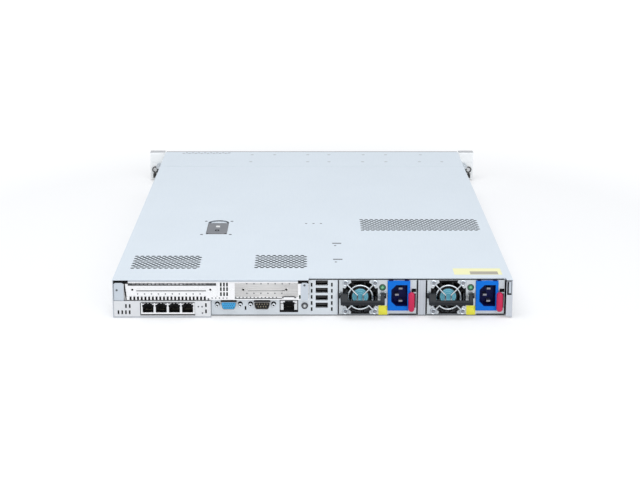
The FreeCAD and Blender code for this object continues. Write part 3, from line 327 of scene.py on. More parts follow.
def mouldedSkinGroup():
    # moulded plastic: a fine spark-eroded texture with slow changes of tone
    tree, entry, leave = newGroup("mouldedSkin", {"Texture": 2600.0})
    coords = objectCoords(tree)
    fine = noiseOn(tree, coords, entry.outputs["Texture"], skins["fineDetail"])
    slow = noiseOn(tree, coords, skins["toneScale"], skins["toneDetail"])
    plug(tree, leave, {"Tint": mathNode(tree, "MULTIPLY", slow, fine), "Haze": slow, "Height": fine})
    return tree


def deepMaskGroup():
    # one inside a socket, past a level along the depth, and nought on its face
    tree, entry, leave = newGroup("deepMask", {"Level": 0.0}, ("Mask",))
    parts = node(tree, "ShaderNodeSeparateXYZ", {0: objectCoords(tree)})
    plug(tree, leave, {"Mask": mathNode(tree, "LESS_THAN", parts.outputs["Y"], entry.outputs["Level"])})
    return tree


groups = {"sheet": rolledSheetGroup(), "mould": mouldedSkinGroup(), "deep": deepMaskGroup()}
print("shader groups ready:", ", ".join(groups))


# Materials

def newMaterial(name, groupName, settings, rough, bump=None):
    # roughness and bump come from a shared skin group
    material = bpy.data.materials.new(name)
    material.use_nodes = True
    tree = material.node_tree
    shader = tree.nodes["Principled BSDF"]
    skin = node(tree, "ShaderNodeGroup", settings, node_tree=groups[groupName])
    plug(tree, shader, {"Roughness": remapped(tree, skin.outputs["Haze"], *skins["hazeSpan"], *rough)})
    if bump:
        deep = skins["relief"][groupName] * mm
        relief = {"Strength": bump, "Distance": deep, "Height": skin.outputs["Height"]}
        plug(tree, shader, {"Normal": node(tree, "ShaderNodeBump", relief).outputs["Normal"]})
    return material, tree, shader, skin


def sheetMetal(name, light, dark, metal, rough, stretch=lengthwise, grain=900.0, bump=0.12, shine=0.5,
               spread=0.5):
    settings = {"Stretch": stretch, "Grain": grain}
    material, tree, shader, skin = newMaterial(name, "sheet", settings, rough, bump)
    # a small spread makes patchy metal
    tint = remapped(tree, skin.outputs["Tint"], 0.5 - spread, 0.5 + spread)
    colour = mixColours(tree, tint, dark, light)
    plug(tree, shader, {"Base Color": colour, "Metallic": metal, "Specular IOR Level": shine})
    return material


def mouldedPlastic(name, light, dark, rough, bump=0.15, shine=0.5):
    material, tree, shader, skin = newMaterial(name, "mould", {}, rough, bump)
    colour = mixColours(tree, skin.outputs["Tint"], dark, light)
    plug(tree, shader, {"Base Color": colour, "Specular IOR Level": shine})
    return material


shieldSkin = {"rough": (0.25, 0.4), "bump": 0.1, "shading": 0.86, "metal": 0.8, "grain": {"Grain": 1400.0}}


def socketShield(name, nodeName, inset, light, inside):
    # plated outside, dark plastic inside the mouths
    material, tree, shader, skin = newMaterial(name, "sheet", shieldSkin["grain"], shieldSkin["rough"],
                                               shieldSkin["bump"])
    level = {"Level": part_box(nodeName)[1].y - inset * mm}
    mask = node(tree, "ShaderNodeGroup", level, node_tree=groups["deep"]).outputs["Mask"]
    dark = tuple(part * shieldSkin["shading"] for part in light)
    plate = mixColours(tree, skin.outputs["Tint"], dark, light)
    outside = mathNode(tree, "SUBTRACT", 1.0, mask)
    plug(tree, shader, {"Base Color": mixColours(tree, mask, plate, inside),
                        "Metallic": mathNode(tree, "MULTIPLY", outside, shieldSkin["metal"])})
    return material


boardSkin = {
    "texture": {"Texture": 1500.0}, "rough": (0.35, 0.5), "lacquer": (0.02, 0.16, 0.07), "offset": 0.37,
    "traces": {"Scale": 60.0, "Mortar Size": 0.03, "Color1": (0.012, 0.11, 0.045),
               "Color2": (0.016, 0.13, 0.055), "Mortar": (0.05, 0.24, 0.1)},
}


def circuitBoard(name):
    material, tree, shader, skin = newMaterial(name, "mould", boardSkin["texture"], boardSkin["rough"])
    look = {"Vector": objectCoords(tree), **boardSkin["traces"]}
    traces = node(tree, "ShaderNodeTexBrick", look, offset=boardSkin["offset"])
    colour = mixColours(tree, skin.outputs["Tint"], traces.outputs["Color"], boardSkin["lacquer"])
    plug(tree, shader, {"Base Color": colour})
    return material


# light tone, dark tone, metal share, roughness, grain direction
sheetLooks = {
    "coverSheet": ((0.75, 0.81, 0.87), (0.65, 0.72, 0.79), 0.1, (0.55, 0.7)),
    "lipSheet": ((0.56, 0.61, 0.67), (0.46, 0.51, 0.57), 0.35, (0.38, 0.52)),
    "platedSheet": ((0.78, 0.79, 0.81), (0.69, 0.71, 0.735), 0.5, (0.3, 0.45), upright),
    "panelSheet": ((0.735, 0.78, 0.82), (0.64, 0.69, 0.735), 0.5, (0.3, 0.45), upright),
    "bracketSheet": ((0.62, 0.675, 0.735), (0.54, 0.595, 0.66), 0.4, (0.35, 0.5)),
    "traySheet": ((0.60, 0.635, 0.685), (0.515, 0.55, 0.60), 0.5, (0.35, 0.5)),
    "slotSheet": ((0.97, 0.97, 0.98), (0.89, 0.89, 0.91), 0.5, (0.22, 0.36), crosswise),
    "warmSheet": ((0.82, 0.81, 0.80), (0.40, 0.395, 0.395), 0.7, (0.2, 0.34), crosswise),
    # the next tone is painted shade on the walls of the cover's punched holes
    "holeEdge": ((0.20, 0.22, 0.24), (0.13, 0.14, 0.16), 0.5, (0.4, 0.55)),
    # spring steel, with dark and light patches that are painted shade from the cover's lip and painted
    # reflection
    "springSteel": ((0.56, 0.56, 0.58), (0.05, 0.05, 0.055), 0.9, (0.14, 0.3), even),
    "shellNickel": ((0.44, 0.435, 0.43), (0.26, 0.255, 0.25), 0.9, (0.16, 0.28), even),
    "supplySteel": ((0.66, 0.70, 0.735), (0.53, 0.57, 0.605), 0.7, (0.28, 0.42), crosswise),
    "pinNickel": ((0.34, 0.34, 0.38), (0.22, 0.22, 0.25), 0.9, (0.2, 0.32), even),
    "brightWire": ((0.72, 0.76, 0.80), (0.57, 0.61, 0.65), 1.0, (0.12, 0.22), even),
    "goldContact": ((0.72, 0.65, 0.48), (0.52, 0.46, 0.33), 1.0, (0.2, 0.3), even),
    "heatSink": ((0.80, 0.81, 0.83), (0.64, 0.65, 0.68), 0.9, (0.3, 0.45), crosswise),
}
# light tone, dark tone, roughness
mouldLooks = {
    "inletBlue": ((0.004, 0.21, 0.86), (0.003, 0.15, 0.66), (0.45, 0.6)),
    # dark navy, painted shade inside the inlet's socket and in its snap notches
    "socketNavy": ((0.008, 0.013, 0.16), (0.005, 0.008, 0.10), (0.4, 0.55)),
    "releaseRed": ((0.74, 0.03, 0.12), (0.52, 0.016, 0.075), (0.3, 0.42)),
    "blackMould": ((0.022, 0.022, 0.024), (0.012, 0.012, 0.013), (0.38, 0.55)),
    "handleBlack": ((0.016, 0.024, 0.034), (0.003, 0.005, 0.008), (0.3, 0.45)),
    "fanBlack": ((0.014, 0.014, 0.015), (0.008, 0.008, 0.009), (0.4, 0.55)),
    "latchGrey": ((0.19, 0.205, 0.235), (0.12, 0.13, 0.15), (0.4, 0.55)),
    "buttonGrey": ((0.36, 0.38, 0.41), (0.27, 0.29, 0.31), (0.35, 0.5)),
    "earPale": ((0.98, 0.99, 0.99), (0.94, 0.96, 0.97), (0.4, 0.55)),
    "carrierGrey": ((0.085, 0.088, 0.095), (0.05, 0.052, 0.056), (0.35, 0.5)),
    "panelGrey": ((0.16, 0.165, 0.175), (0.10, 0.105, 0.11), (0.35, 0.5)),
    "videoBlue": ((0.055, 0.43, 0.80), (0.035, 0.35, 0.70), (0.35, 0.5)),
    "tealDisc": ((0.22, 0.64, 0.80), (0.10, 0.44, 0.58), (0.3, 0.42)),
    "paleDisc": ((0.52, 0.84, 0.92), (0.36, 0.70, 0.80), (0.3, 0.42)),
    "tagYellow": ((0.99, 0.95, 0.09), (0.93, 0.87, 0.06), (0.35, 0.5)),
    "patchYellow": ((0.93, 0.92, 0.58), (0.87, 0.85, 0.46), (0.4, 0.55)),
    "patchGrey": ((0.46, 0.42, 0.34), (0.36, 0.33, 0.27), (0.4, 0.55)),
    "lensGreen": ((0.03, 0.30, 0.12), (0.015, 0.17, 0.07), (0.08, 0.16)),
    "lensGlint": ((0.30, 0.62, 0.40), (0.20, 0.46, 0.28), (0.08, 0.16)),
    "lensRim": ((0.02, 0.05, 0.035), (0.012, 0.03, 0.02), (0.25, 0.4)),
    "lensPale": ((0.80, 0.82, 0.82), (0.68, 0.70, 0.70), (0.1, 0.2)),
    "markGrey": ((0.10, 0.11, 0.13), (0.06, 0.07, 0.08), (0.45, 0.6)),
    "dimpleGrey": ((0.50, 0.53, 0.57), (0.42, 0.45, 0.48), (0.4, 0.55)),
    "trimGrey": ((0.38, 0.38, 0.40), (0.30, 0.30, 0.32), (0.4, 0.55)),
    # painted shade along the rear hem and under the slot ribs
    "hemDark": ((0.15, 0.155, 0.16), (0.10, 0.105, 0.11), (0.45, 0.6)),
    # painted shade behind the spring strip, under the jack sill and in the gap round the locator button
    "bandDark": ((0.075, 0.075, 0.08), (0.03, 0.03, 0.033), (0.45, 0.6)),
    "earCap": ((0.56, 0.57, 0.59), (0.46, 0.47, 0.49), (0.4, 0.55)),
    # near black, for black parts such as the fan frame and as painted shade in gaps, slots and holes
    "gapBlack": ((0.008, 0.008, 0.010), (0.005, 0.005, 0.006), (0.6, 0.75)),
}
# node, depth of its bare face, plating, inside of the mouths
shieldLooks = {
    "jackShield": ("network_jacks", 0.5, (0.84, 0.85, 0.87), (0.012, 0.012, 0.013)),
    "managementShield": ("management_jack", 0.5, (0.82, 0.83, 0.85), (0.012, 0.012, 0.013)),
    "usbShield": ("usb_ports", 0.3, (0.80, 0.81, 0.83), (0.008, 0.008, 0.009)),
}
# settings that differ from a maker's own
lookExtras = {
    "coverSheet": {"shine": 0.25}, "warmSheet": {"spread": 0.25},
    "springSteel": {"grain": 160.0, "spread": 0.16}, "brightWire": {"grain": 500.0, "bump": 0.03},
    "inletBlue": {"shine": 0.12}, "socketNavy": {"shine": 0.2}, "releaseRed": {"shine": 0.25},
    "handleBlack": {"shine": 0.28}, "gapBlack": {"shine": 0.12}, "lensGreen": {"bump": 0.02},
    "lensGlint": {"bump": 0.02}, "lensPale": {"bump": 0.02},
}
finishes = {"boardGreen": circuitBoard("boardGreen")}
for maker, looks in ((sheetMetal, sheetLooks), (mouldedPlastic, mouldLooks), (socketShield, shieldLooks)):
    for name, look in looks.items():
        finishes[name] = maker(name, *look, **lookExtras.get(name, {}))

nodeFinish = {
    "coverSheet": "access_cover front_top_panel",
    "traySheet": "chassis_tray psu_cage drive_cage cover_hooks latch_housing",
    "platedSheet": "network_card",
    "panelSheet": "rear_panel",
    "slotSheet": "full_height_slot_cover riser_cage",
    "warmSheet": "low_profile_slot_cover",
    "supplySteel": "psu_1_case psu_2_case rail_studs ear_screws",
    "brightWire": "psu_1_fan_guard psu_2_fan_guard",
    "pinNickel": "psu_1_pins psu_2_pins",
    "shellNickel": "d_sub_shells",
    "jackShield": "network_jacks",
    "managementShield": "management_jack",
    "usbShield": "usb_ports",
    "inletBlue": "psu_1_inlet psu_2_inlet",
    "releaseRed": "psu_1_release psu_2_release",
    "handleBlack": "psu_1_handle psu_2_handle left_ear_lever right_ear_lever",
    "fanBlack": "psu_1_rotor psu_2_rotor fan_modules",
    "blackMould": "serial_insert memory_sockets air_baffle",
    "latchGrey": "cover_latch",
    "buttonGrey": "rear_id_button power_button",
    "earPale": "rack_ears",
    "panelGrey": "front_panel drive_lever_1 drive_lever_2 drive_lever_3 drive_lever_4",
    "carrierGrey": "drive_1 drive_2 drive_3 drive_4 drive_blanks",
    "videoBlue": "video_insert",
    "heatSink": "heatsinks processors",
    "boardGreen": "system_board memory_modules riser_card drive_backplane power_backplane",
}
for finish, nodeNames in nodeFinish.items():
    for nodeName in nodeNames.split():
        slots = nodes[nodeName].data.materials
        slots.clear()
        slots.append(finishes[finish])
print("materials on", sum(len(nodeNames.split()) for nodeNames in nodeFinish.values()), "nodes")


# Access cover with its fine perforation

cover = {
    "sheet": 1.0, "edge": 0.25, "lip": (17.0, 201.1, 2.6),
    "hole": 2.5, "holeCut": (4.0, 6),  # radius, then length and sides of the cut
    "fields": ((14.6, 92.0, 44.0, 99.5, 12, 11), (152.0, 211.4, 46.5, 102.0, 9, 11),
               (275.6, 421.6, 215.5, 273.0, 23, 11)),  # left, right, rear, front, columns, rows
    "step": (212.9, 427.8, -2.0, panelInset - 0.3), "latchWindow": (89.2, 114.6, 198.3, 254.8),
    "overcut": 1.0, "bow": (4.0, 48), "bowDepth": 2.0, "steep": 0.3,
}


def ventHoles(cutter, left, right, rear, front, columns, rows):
    # staggered rows of six-sided holes that fill the field
    hole = cover["hole"]
    pitch = (right - left - 2 * hole) / (columns - 0.5)
    step = (front - rear - 2 * hole) / (rows - 1)
    for row, along in enumerate(series(rear + hole, step, rows)):
        for across in series(left + hole + 0.5 * (row % 2) * pitch, pitch, columns):
            rod(cutter, spot(across, along, coverTop), "up", hole, *cover["holeCut"])


def buildCover():
    front = fromRear(coverLow.y)
    under = coverTop - cover["sheet"]
    through = (under - cover["overcut"], coverTop + cover["overcut"])
    left, right, _, windowFront = cover["latchWindow"]
    holes = [(ventHoles, *field) for field in cover["fields"]]
    holes += [(block, *cover[opening], *through) for opening in ("latchWindow", "step")]
    bow = (rod, spot((left + right) / 2, windowFront, coverTop), "up", (right - left) / 2, *cover["bow"])
    bm = shaped([(softBlock, cover["edge"], 2, 0, bodyWidth, 0, front, under, coverTop)])
    for cut in (holes, [bow]):
        bm = carve(bm, shaped(cut))
    bm.normal_update()
    for face in bm.faces:
        place = face.calc_center_median()
        across, along = fromLeft(place.x), fromRear(place.y)
        inVent = any(start <= across <= end and rear <= along <= fore
                     for start, end, rear, fore, *_ in cover["fields"])
        inBow = left < across < right and windowFront - cover["bowDepth"] < along < front / 2
        if abs(face.normal.z) < cover["steep"] and (inVent or inBow):
            face.material_index = 1  # painted shade on the punched hole walls and the bow's edge
    finishPiece("vented_cover", bm, "cover", "coverSheet", ("access_cover",), smooth=False,
                second="holeEdge")
    lipLeft, lipRight, drop = cover["lip"]
    lip = (block, lipLeft, lipRight, 0, cover["sheet"], coverTop - drop, under)
    makePiece("cover_lip", "cover_sheet", "lipSheet", [lip], "cover", cover["edge"])


buildCover()
print("cover perforated")


# Rivets, marks and patches on the top

topMarks = {
    "rivets": ((86.1, 262.6), (117.9, 262.1), (84.4, 196.3), (118.8, 196.3)), "rivet": (1.9, 0.4),
    "dashes": ((240.5, 251.1, 153.2, 156.8), (240.5, 251.1, 81.7, 85.3)),
    "dots": ((243.8, 144.2), (243.5, 72.1), (209.7, 251.0), (218.8, 251.0), (227.9, 251.0)),
    "dot": (1.5, 0.16, 16), "film": 0.08,
    "patch": (372.6, 425.2, 19.7, 45.1), "patchBar": (390.3, 420.9, 20.5, 32.3),
    "dimples": ((671.0, (129.0, 162.3, 211.1, 242.5, 293.3, 326.5, 378.0)),
                (621.0, (128.7, 211.1, 242.0, 290.9, 324.5, 373.3, 405.9))),
    "dimple": (2.6, 0.3, 14, 6),
}


def buildTopMarks():
    film = topMarks["film"]
    low, high = coverTop - film, coverTop + film
    rivets = [(dome, spot(*place, coverTop), "up", *topMarks["rivet"]) for place in topMarks["rivets"]]
    makePiece("cover_rivets", "zinc_sheet", "markGrey", rivets, "cover")
    marks = [(block, *dash, low, high) for dash in topMarks["dashes"]]
    marks += [(rod, spot(*place, coverTop), "up", *topMarks["dot"]) for place in topMarks["dots"]]
    makePiece("cover_marks", "black_plastic", "markGrey", marks, "cover", smooth=False)
    patch = (block, *topMarks["patch"], low, high)
    makePiece("cover_patch", "cover_sheet", "patchYellow", [patch], "cover", smooth=False)
    bar = (block, *topMarks["patchBar"], low, high + film)
    makePiece("cover_patch_bar", "cover_sheet", "patchGrey", [bar], "cover", smooth=False)
    dimples = [(dome, spot(left, rear, coverTop), "up", *topMarks["dimple"])
               for rear, lefts in topMarks["dimples"] for left in lefts]
    makePiece("panel_dimples", "cover_sheet", "dimpleGrey", dimples)


buildTopMarks()
print("top marks placed")


# Latch lever trim

latchTrim = {
    "bar": (90.1, 113.7, 199.9, 201.8, 42.3, 42.75), "barEdge": 0.1,
    "pips": ((89.9, 92.2, 199.8, 203.0, 42.3, 42.82), (111.6, 113.9, 199.8, 203.0, 42.3, 42.82)),
    "pipEdge": 0.15, "lock": (101.9, 218.0, 42.6), "lockHead": (1.5, 0.5), "lockRing": (2.0, 0.6, 32, 8),
    "mark": (99.5, 104.3, 233.0, 241.4, 42.4, 42.75), "markEdge": 0.12,
    "ramp": (90.2, 113.6, 256.4, 266.0, 37.4, 41.8), "rampFoot": 39.4, "rampTaper": 0.8, "rampEdge": 0.4,
}


def fingerRamp(bm):
    # slopes down to the latch and narrows to the front
    left, right, rear, front, _, high = latchTrim["ramp"]
    ramp = block(bm, *latchTrim["ramp"])
    halfway, foot = spot(0, (rear + front) / 2, 0).y, latchTrim["rampFoot"]
    slope = [vert for vert in ramp if vert.co.z > foot * mm and vert.co.y > halfway]
    bmesh.ops.translate(bm, vec=(0, 0, (foot - high) * mm), verts=slope)
    narrow = [vert for vert in ramp if vert.co.y < halfway]
    about = Matrix.Translation(-spot((left + right) / 2, 0, 0))
    bmesh.ops.scale(bm, vec=(latchTrim["rampTaper"], 1, 1), verts=narrow, space=about)


def buildLatchTrim():
    lock = spot(*latchTrim["lock"])
    bar, mark = (block, *latchTrim["bar"]), (block, *latchTrim["mark"])
    makePiece("latch_bar", "black_plastic", "blackMould", [bar], "latch", latchTrim["barEdge"])
    pips = [(softBlock, latchTrim["pipEdge"], 2, *pip) for pip in latchTrim["pips"]]
    pips.append((hoop, lock, "up", *latchTrim["lockRing"]))
    makePiece("latch_pips", "black_plastic", "gapBlack", pips, "latch")
    head = (screwHead, lock, "up", *latchTrim["lockHead"])
    makePiece("latch_lock", "zinc_sheet", "supplySteel", [head], "latch")
    makePiece("latch_mark", "ear_plastic", "lensPale", [mark], "latch", latchTrim["markEdge"])
    ramp = (fingerRamp,)
    makePiece("latch_finger_ramp", "zinc_sheet", "coverSheet", [ramp], "cover", latchTrim["rampEdge"])


buildLatchTrim()
print("latch dressed")


# Slot covers: pressed dots and holes, painted shade under the ribs, on the teeth and behind the spring strip
# along the top

slotTrim = {
    "dotRows": ((27.0, 7.55, 10, 3.0, 25.9), (145.8, 7.7, 7, 3.0, 37.4), (145.8, 7.6, 6, 3.0, 26.6),
                (107.9, 4.03, 5, 2.0, 21.5),
                (133.6, 4.03, 12, 2.0, 22.0)),  # first, pitch, count, rear, height
    "dot": (0.75, 0.12, 10), "bracketHoles": ((4.6, 1.0, 30.7), (208.4, 1.0, 36.1)), "hole": (1.2, 0.12, 16),
    "teeth": (19.4, 4.03, 21), "toothHalf": 1.1, "tooth": (1.94, 2.06, 19.45, 23.0),
    "eyelets": ((21.4, "slotSheet"), (106.1, "slotSheet"), (141.8, "warmSheet"), (188.6, "warmSheet")),
    "eyeletPlace": (3.0, 30.7), "eyelet": (1.6, 0.45, 24, 8),
    "holePlace": (3.1, 30.7), "eyeletHole": (1.6, 0.2, 20),
    "shades": ((25.8, 101.3, 2.34, 3.06, 29.05, 30.15), (147.0, 187.0, 2.34, 3.06, 29.3, 29.9),
               (132.5, 184.0, 1.94, 2.06, 20.6, 21.7), (184.0, 185.8, 1.94, 2.06, 21.2, 22.8),
               (185.4, 197.6, 1.94, 2.06, 22.4, 23.4), (197.2, 199.4, 1.94, 2.06, 21.2, 22.8)),
    "band": (16.5, 112.5, 2.8, 3.1, 35.2, 39.4), "bandEdge": 0.08,
    "fingerPitch": 4.3, "fingerSize": (0.3, 0.07), "fingerLength": 0.7, "fingerFlat": 0.5, "fingerShift": 0.5,
    "fingerSides": 16, "leanStep": 2.3,
    "brackets": ((1.3, 11.9, 18.9, 38.9), (204.4, 212.4, 19.6, 39.0)), "shoulder": (2.5, 20), "toe": (0.5, 8),
    "bracketLayers": ((1.0, 0.15), (1.2, 0.0), (1.95, 0.0)),  # rear, shrink
}


def springFingers(bm):
    left, right, rear, _, low, high = slotTrim["band"]
    pitch = slotTrim["fingerPitch"]
    size, sway = slotTrim["fingerSize"]
    for step in range(1, int((right - left) / pitch)):
        lean = math.sin(step * slotTrim["leanStep"])  # the fingers stand unevenly
        middle = spot(left + (step + 0.5) * pitch, rear, (low + high) / 2 + slotTrim["fingerShift"] * lean)
        radius, length = (high - low) * (size + sway * lean), pitch * slotTrim["fingerLength"]
        finger = rod(bm, middle, "across", radius, length, slotTrim["fingerSides"])
        flat = (1, slotTrim["fingerFlat"], 1)
        bmesh.ops.scale(bm, vec=flat, verts=finger, space=Matrix.Translation(-middle))


def riserBracket(bm, left, right, low, high):
    # a plate with round shoulders that holds the riser cage to the wall
    circles = []
    for rear, shrink in slotTrim["bracketLayers"]:
        for (radius, sides), end, inward in ((slotTrim["shoulder"], high, -1), (slotTrim["toe"], low, 1)):
            for place in (left + radius, right - radius):
                circles.append((spot(place, rear, end + inward * radius), "along", radius - shrink, sides))
    wrapped(bm, circles)


def buildSlotTrim():
    dots = [(rod, spot(left, rear, height), "along", *slotTrim["dot"])
            for first, pitch, count, rear, height in slotTrim["dotRows"]
            for left in series(first, pitch, count)]
    dots += [(rod, spot(*place), "along", *slotTrim["hole"]) for place in slotTrim["bracketHoles"]]
    makePiece("slot_dots", "black_plastic", "markGrey", dots, smooth=False)
    # painted shade: black marks over the teeth cuts and dark discs in the eyelet holes
    half = slotTrim["toothHalf"]
    teeth = [(block, middle - half, middle + half, *slotTrim["tooth"])
             for middle in series(*slotTrim["teeth"])]
    teeth += [(rod, spot(left, *slotTrim["holePlace"]), "along", *slotTrim["eyeletHole"])
              for left, _ in slotTrim["eyelets"]]
    makePiece("slot_teeth_shade", "black_plastic", "gapBlack", teeth, smooth=False)
    for number, (left, finish) in enumerate(slotTrim["eyelets"], 1):
        ring = (hoop, spot(left, *slotTrim["eyeletPlace"]), "along", *slotTrim["eyelet"])
        makePiece(f"slot_eyelet_{number}", "bright_steel", finish, [ring])
    makePiece("slot_rib_shades", "bright_steel", "hemDark", blocks(slotTrim["shades"]), smooth=False)
    # the dark strip behind the spring fingers is painted shade under the cover's lip, and the fingers' patchy
    # tone is painted shade and painted reflection
    band = (softBlock, slotTrim["bandEdge"], 1, *slotTrim["band"])
    makePiece("slot_strip_shade", "black_plastic", "bandDark", [band])
    makePiece("slot_spring_fingers", "chrome_wire", "springSteel", [(springFingers,)])
    brackets = [(riserBracket, *bracket) for bracket in slotTrim["brackets"]]
    makePiece("riser_brackets", "zinc_sheet", "bracketSheet", brackets)


buildSlotTrim()
print("slots dressed")


# Painted shade in the gaps round the rear edges and along the hem, and a plate in the corner recess

rearEdges = {
    "coverGapShade": (213.2, 427.6, 0.8, 2.0, 40.45, 41.8), "coverGapShadeEdge": 0.3,
    "shadeRuns": ((1.2, 16.8), (201.3, 212.7)),
    "shadeLayers": ((1.5, 1.97, 39.75, 41.8), (1.94, 2.1, 37.6, 41.8)),
    "slit": (12.0, 13.4, 1.92, 2.1, 19.6, 39.8), "slitLean": 1.8,
    "shades": ((428.5, 433.4, -0.1, 0.1, 25.6, 40.4), (331.75, 332.3, 6.38, 6.6, 1.3, 40.3),
               (340.4, 340.95, 6.38, 6.6, 1.3, 40.3)),  # corner recess and divider edges
    "recessPlate": (430.3, 432.9, -0.2, 0.1, 27.4, 40.2), "hem": (107.0, 427.6, -0.18, 0.2, 0.05, 0.95),
    "plateEdge": 0.08,
}


def leaningSlit(bm):
    slit = block(bm, *rearEdges["slit"])
    halfway = sum(rearEdges["slit"][4:]) / 2 * mm
    foot = [vert for vert in slit if vert.co.z < halfway]
    bmesh.ops.translate(bm, vec=(-rearEdges["slitLean"] * mm, 0, 0), verts=foot)


def buildRearEdges():
    # painted shade: black strips in the gap under the cover's rear edge, a leaning dark slit beside the left
    # bracket, dark edges at the corner recess and the divider, and a dark hem along the foot
    paintedShades = [(softBlock, rearEdges["coverGapShadeEdge"], 2, *onPanel(*rearEdges["coverGapShade"]))]
    paintedShades += [(block, *run, *layer) for layer in rearEdges["shadeLayers"] for run in rearEdges["shadeRuns"]]
    paintedShades += [(leaningSlit,), *blocks(rearEdges["shades"])]
    makePiece("rear_painted_shade", "black_plastic", "gapBlack", paintedShades)
    for name, finish, box in (("recess_plate", "lipSheet", rearEdges["recessPlate"]),
                              ("rear_hem_shade", "hemDark", onPanel(*rearEdges["hem"]))):
        makePiece(name, "zinc_sheet", finish, [(softBlock, rearEdges["plateEdge"], 1, *box)])


buildRearEdges()
print("rear edges dressed")


# Rear connectors

ports = {
    "screwLefts": (113.3, 138.3, 149.5, 174.7), "height": 12.8, "nut": (2.5, 4.4, 6), "nutEdge": 0.3,
    "nutRing": (1.35, 0.4, 20, 8), "nutHole": (1.3, 0.2, 16), "nutShade": (2.7, 0.2, 24), "shadeLift": 0.6,
    "serial": (162.1, 2.77, 2.84), "serialRows": ((5, 0.5), (4, -0.5)), "pin": (0.5, 4.6, 14),
    "video": (125.8, 2.29, 1.98), "videoRows": ((-1, 0.25), (0, -0.25), (1, 0.25)), "videoCount": 5,
    "videoReach": 5.0, "videoHole": (0.5, 0.12, 12),
    "cardLenses": ((93.0, 12.3), (97.0, 12.3), (97.3, 5.1)), "cardLens": (0.9, 0.4),
    "cardJacks": (38.35, 14.3, 4), "cardFace": -0.8, "cardFloor": 5.4,
    "management": (191.35, panelInset - 0.8, 6.0), "managementLenses": ((182.5, 184.4), (198.3, 200.2)),
    "managementLens": (-1.0, -0.4, 7.3, 13.2), "lensEdge": 0.15,
    "contacts": (1.02, 8), "contactHalf": 0.2, "contact": (2.5, 12.0, 6.2, 6.6), "contactTilt": -18,
    "mouthSteps": ((2.9, 6.3, 6.9, 9.4), (1.7, 4.4, 8.9, 10.9), (0.0, 1.8, 10.1, 10.9)),
    "mouthDepth": (-0.12, 0.3),
    "cardShades": ((29.7, 30.6, -0.3, 0.1, 2.8, 16.9), (30.6, 89.0, -0.86, -0.2, 16.85, 17.25)),
    "comb": (32.0, 3.55, 16), "combTooth": (1.9, -0.9, -0.5, 16.1, 16.9),
    "panelShades": ((181.3, 201.4, -0.3, 0.1, 3.9, 5.7), (181.3, 183.1, -0.3, 0.1, 3.9, 18.4),
                    (199.6, 201.4, -0.3, 0.1, 3.9, 18.4), (182.2, 200.5, -0.9, -0.7, 5.0, 6.7),
                    (182.2, 200.5, -0.9, -0.7, 17.1, 17.6), (182.2, 185.8, -0.9, -0.7, 13.6, 14.2),
                    (197.2, 199.6, -0.9, -0.7, 13.6, 14.2), (117.0, 134.6, -5.3, -0.1, 17.1, 17.25),
                    (153.3, 170.9, -5.3, -0.1, 17.1, 17.25)),  # round the management jack, over both shells
    "sill": (31.0, 88.6, -0.96, -0.7, 4.3, 6.0), "sillShade": (30.0, 89.4, -0.96, -0.7, 2.7, 4.25),
    "sillEdge": 0.06, "button": (208.6, 11.3), "buttonRim": (2.85, 0.6, 36, 8), "buttonSunk": 0.3,
    "buttonDome": (1.4, 0.5, 20, 8), "buttonRing": (1.7, 0.22, 28, 6),
}
jackPlaces = [(middle, ports["cardFace"], ports["cardFloor"]) for middle in series(*ports["cardJacks"])]
jackPlaces.append(ports["management"])


def jackContacts(bm, middle, rear, floor):
    half = ports["contactHalf"]
    near, far, low, high = ports["contact"]
    tilt = Matrix.Rotation(math.radians(ports["contactTilt"]), 3, "X")
    for left in centred(middle, *ports["contacts"]):
        wire = block(bm, left - half, left + half, rear + near, rear + far, floor + low, floor + high)
        bmesh.ops.rotate(bm, verts=wire, cent=spot(left, rear + far, floor + (low + high) / 2), matrix=tilt)


def jackMouth(bm, middle, rear, floor):
    # the dark steps at the top of a jack's mouth, each (near, far, low, high)
    front, back = ports["mouthDepth"]
    for near, far, low, high in ports["mouthSteps"]:
        for start, end in ((middle - far, middle - near), (middle + near, middle + far)):
            block(bm, start, end, rear + front, rear + back, floor + low, floor + high)


def buildPortScrews():
    level, reach = ports["height"], ports["nut"][1]
    nuts, holes = [], []
    for left in ports["screwLefts"]:
        centre, end = (spot(left, panelInset - depth, level) for depth in (reach / 2, reach))
        nuts.append((softRod, ports["nutEdge"], centre, "along", *ports["nut"]))
        nuts.append((hoop, end, "along", *ports["nutRing"]))
        holes.append((rod, end, "along", *ports["nutHole"]))
    middle, pitch, rows = ports["video"]
    for row, shift in ports["videoRows"]:
        for left in centred(middle + shift * pitch, pitch, ports["videoCount"]):
            place = spot(left, panelInset - ports["videoReach"], level + row * rows)
            holes.append((rod, place, "along", *ports["videoHole"]))
    makePiece("jack_screws", "bright_steel", "brightWire", nuts)
    makePiece("port_holes", "black_plastic", "blackMould", holes, smooth=False)


def buildPortContacts():
    middle, pitch, rows = ports["serial"]
    radius, reach, sides = ports["pin"]
    contacts = []
    for count, side in ports["serialRows"]:
        height = ports["height"] + side * rows
        for left in centred(middle, pitch, count):
            contacts.append((rod, spot(left, panelInset - reach / 2, height), "along", *ports["pin"]))
            contacts.append((dome, spot(left, panelInset - reach, height), "along", radius, radius, sides))
    contacts += [(jackContacts, *place) for place in jackPlaces]
    makePiece("port_contacts", "contact_metal", "goldContact", contacts)


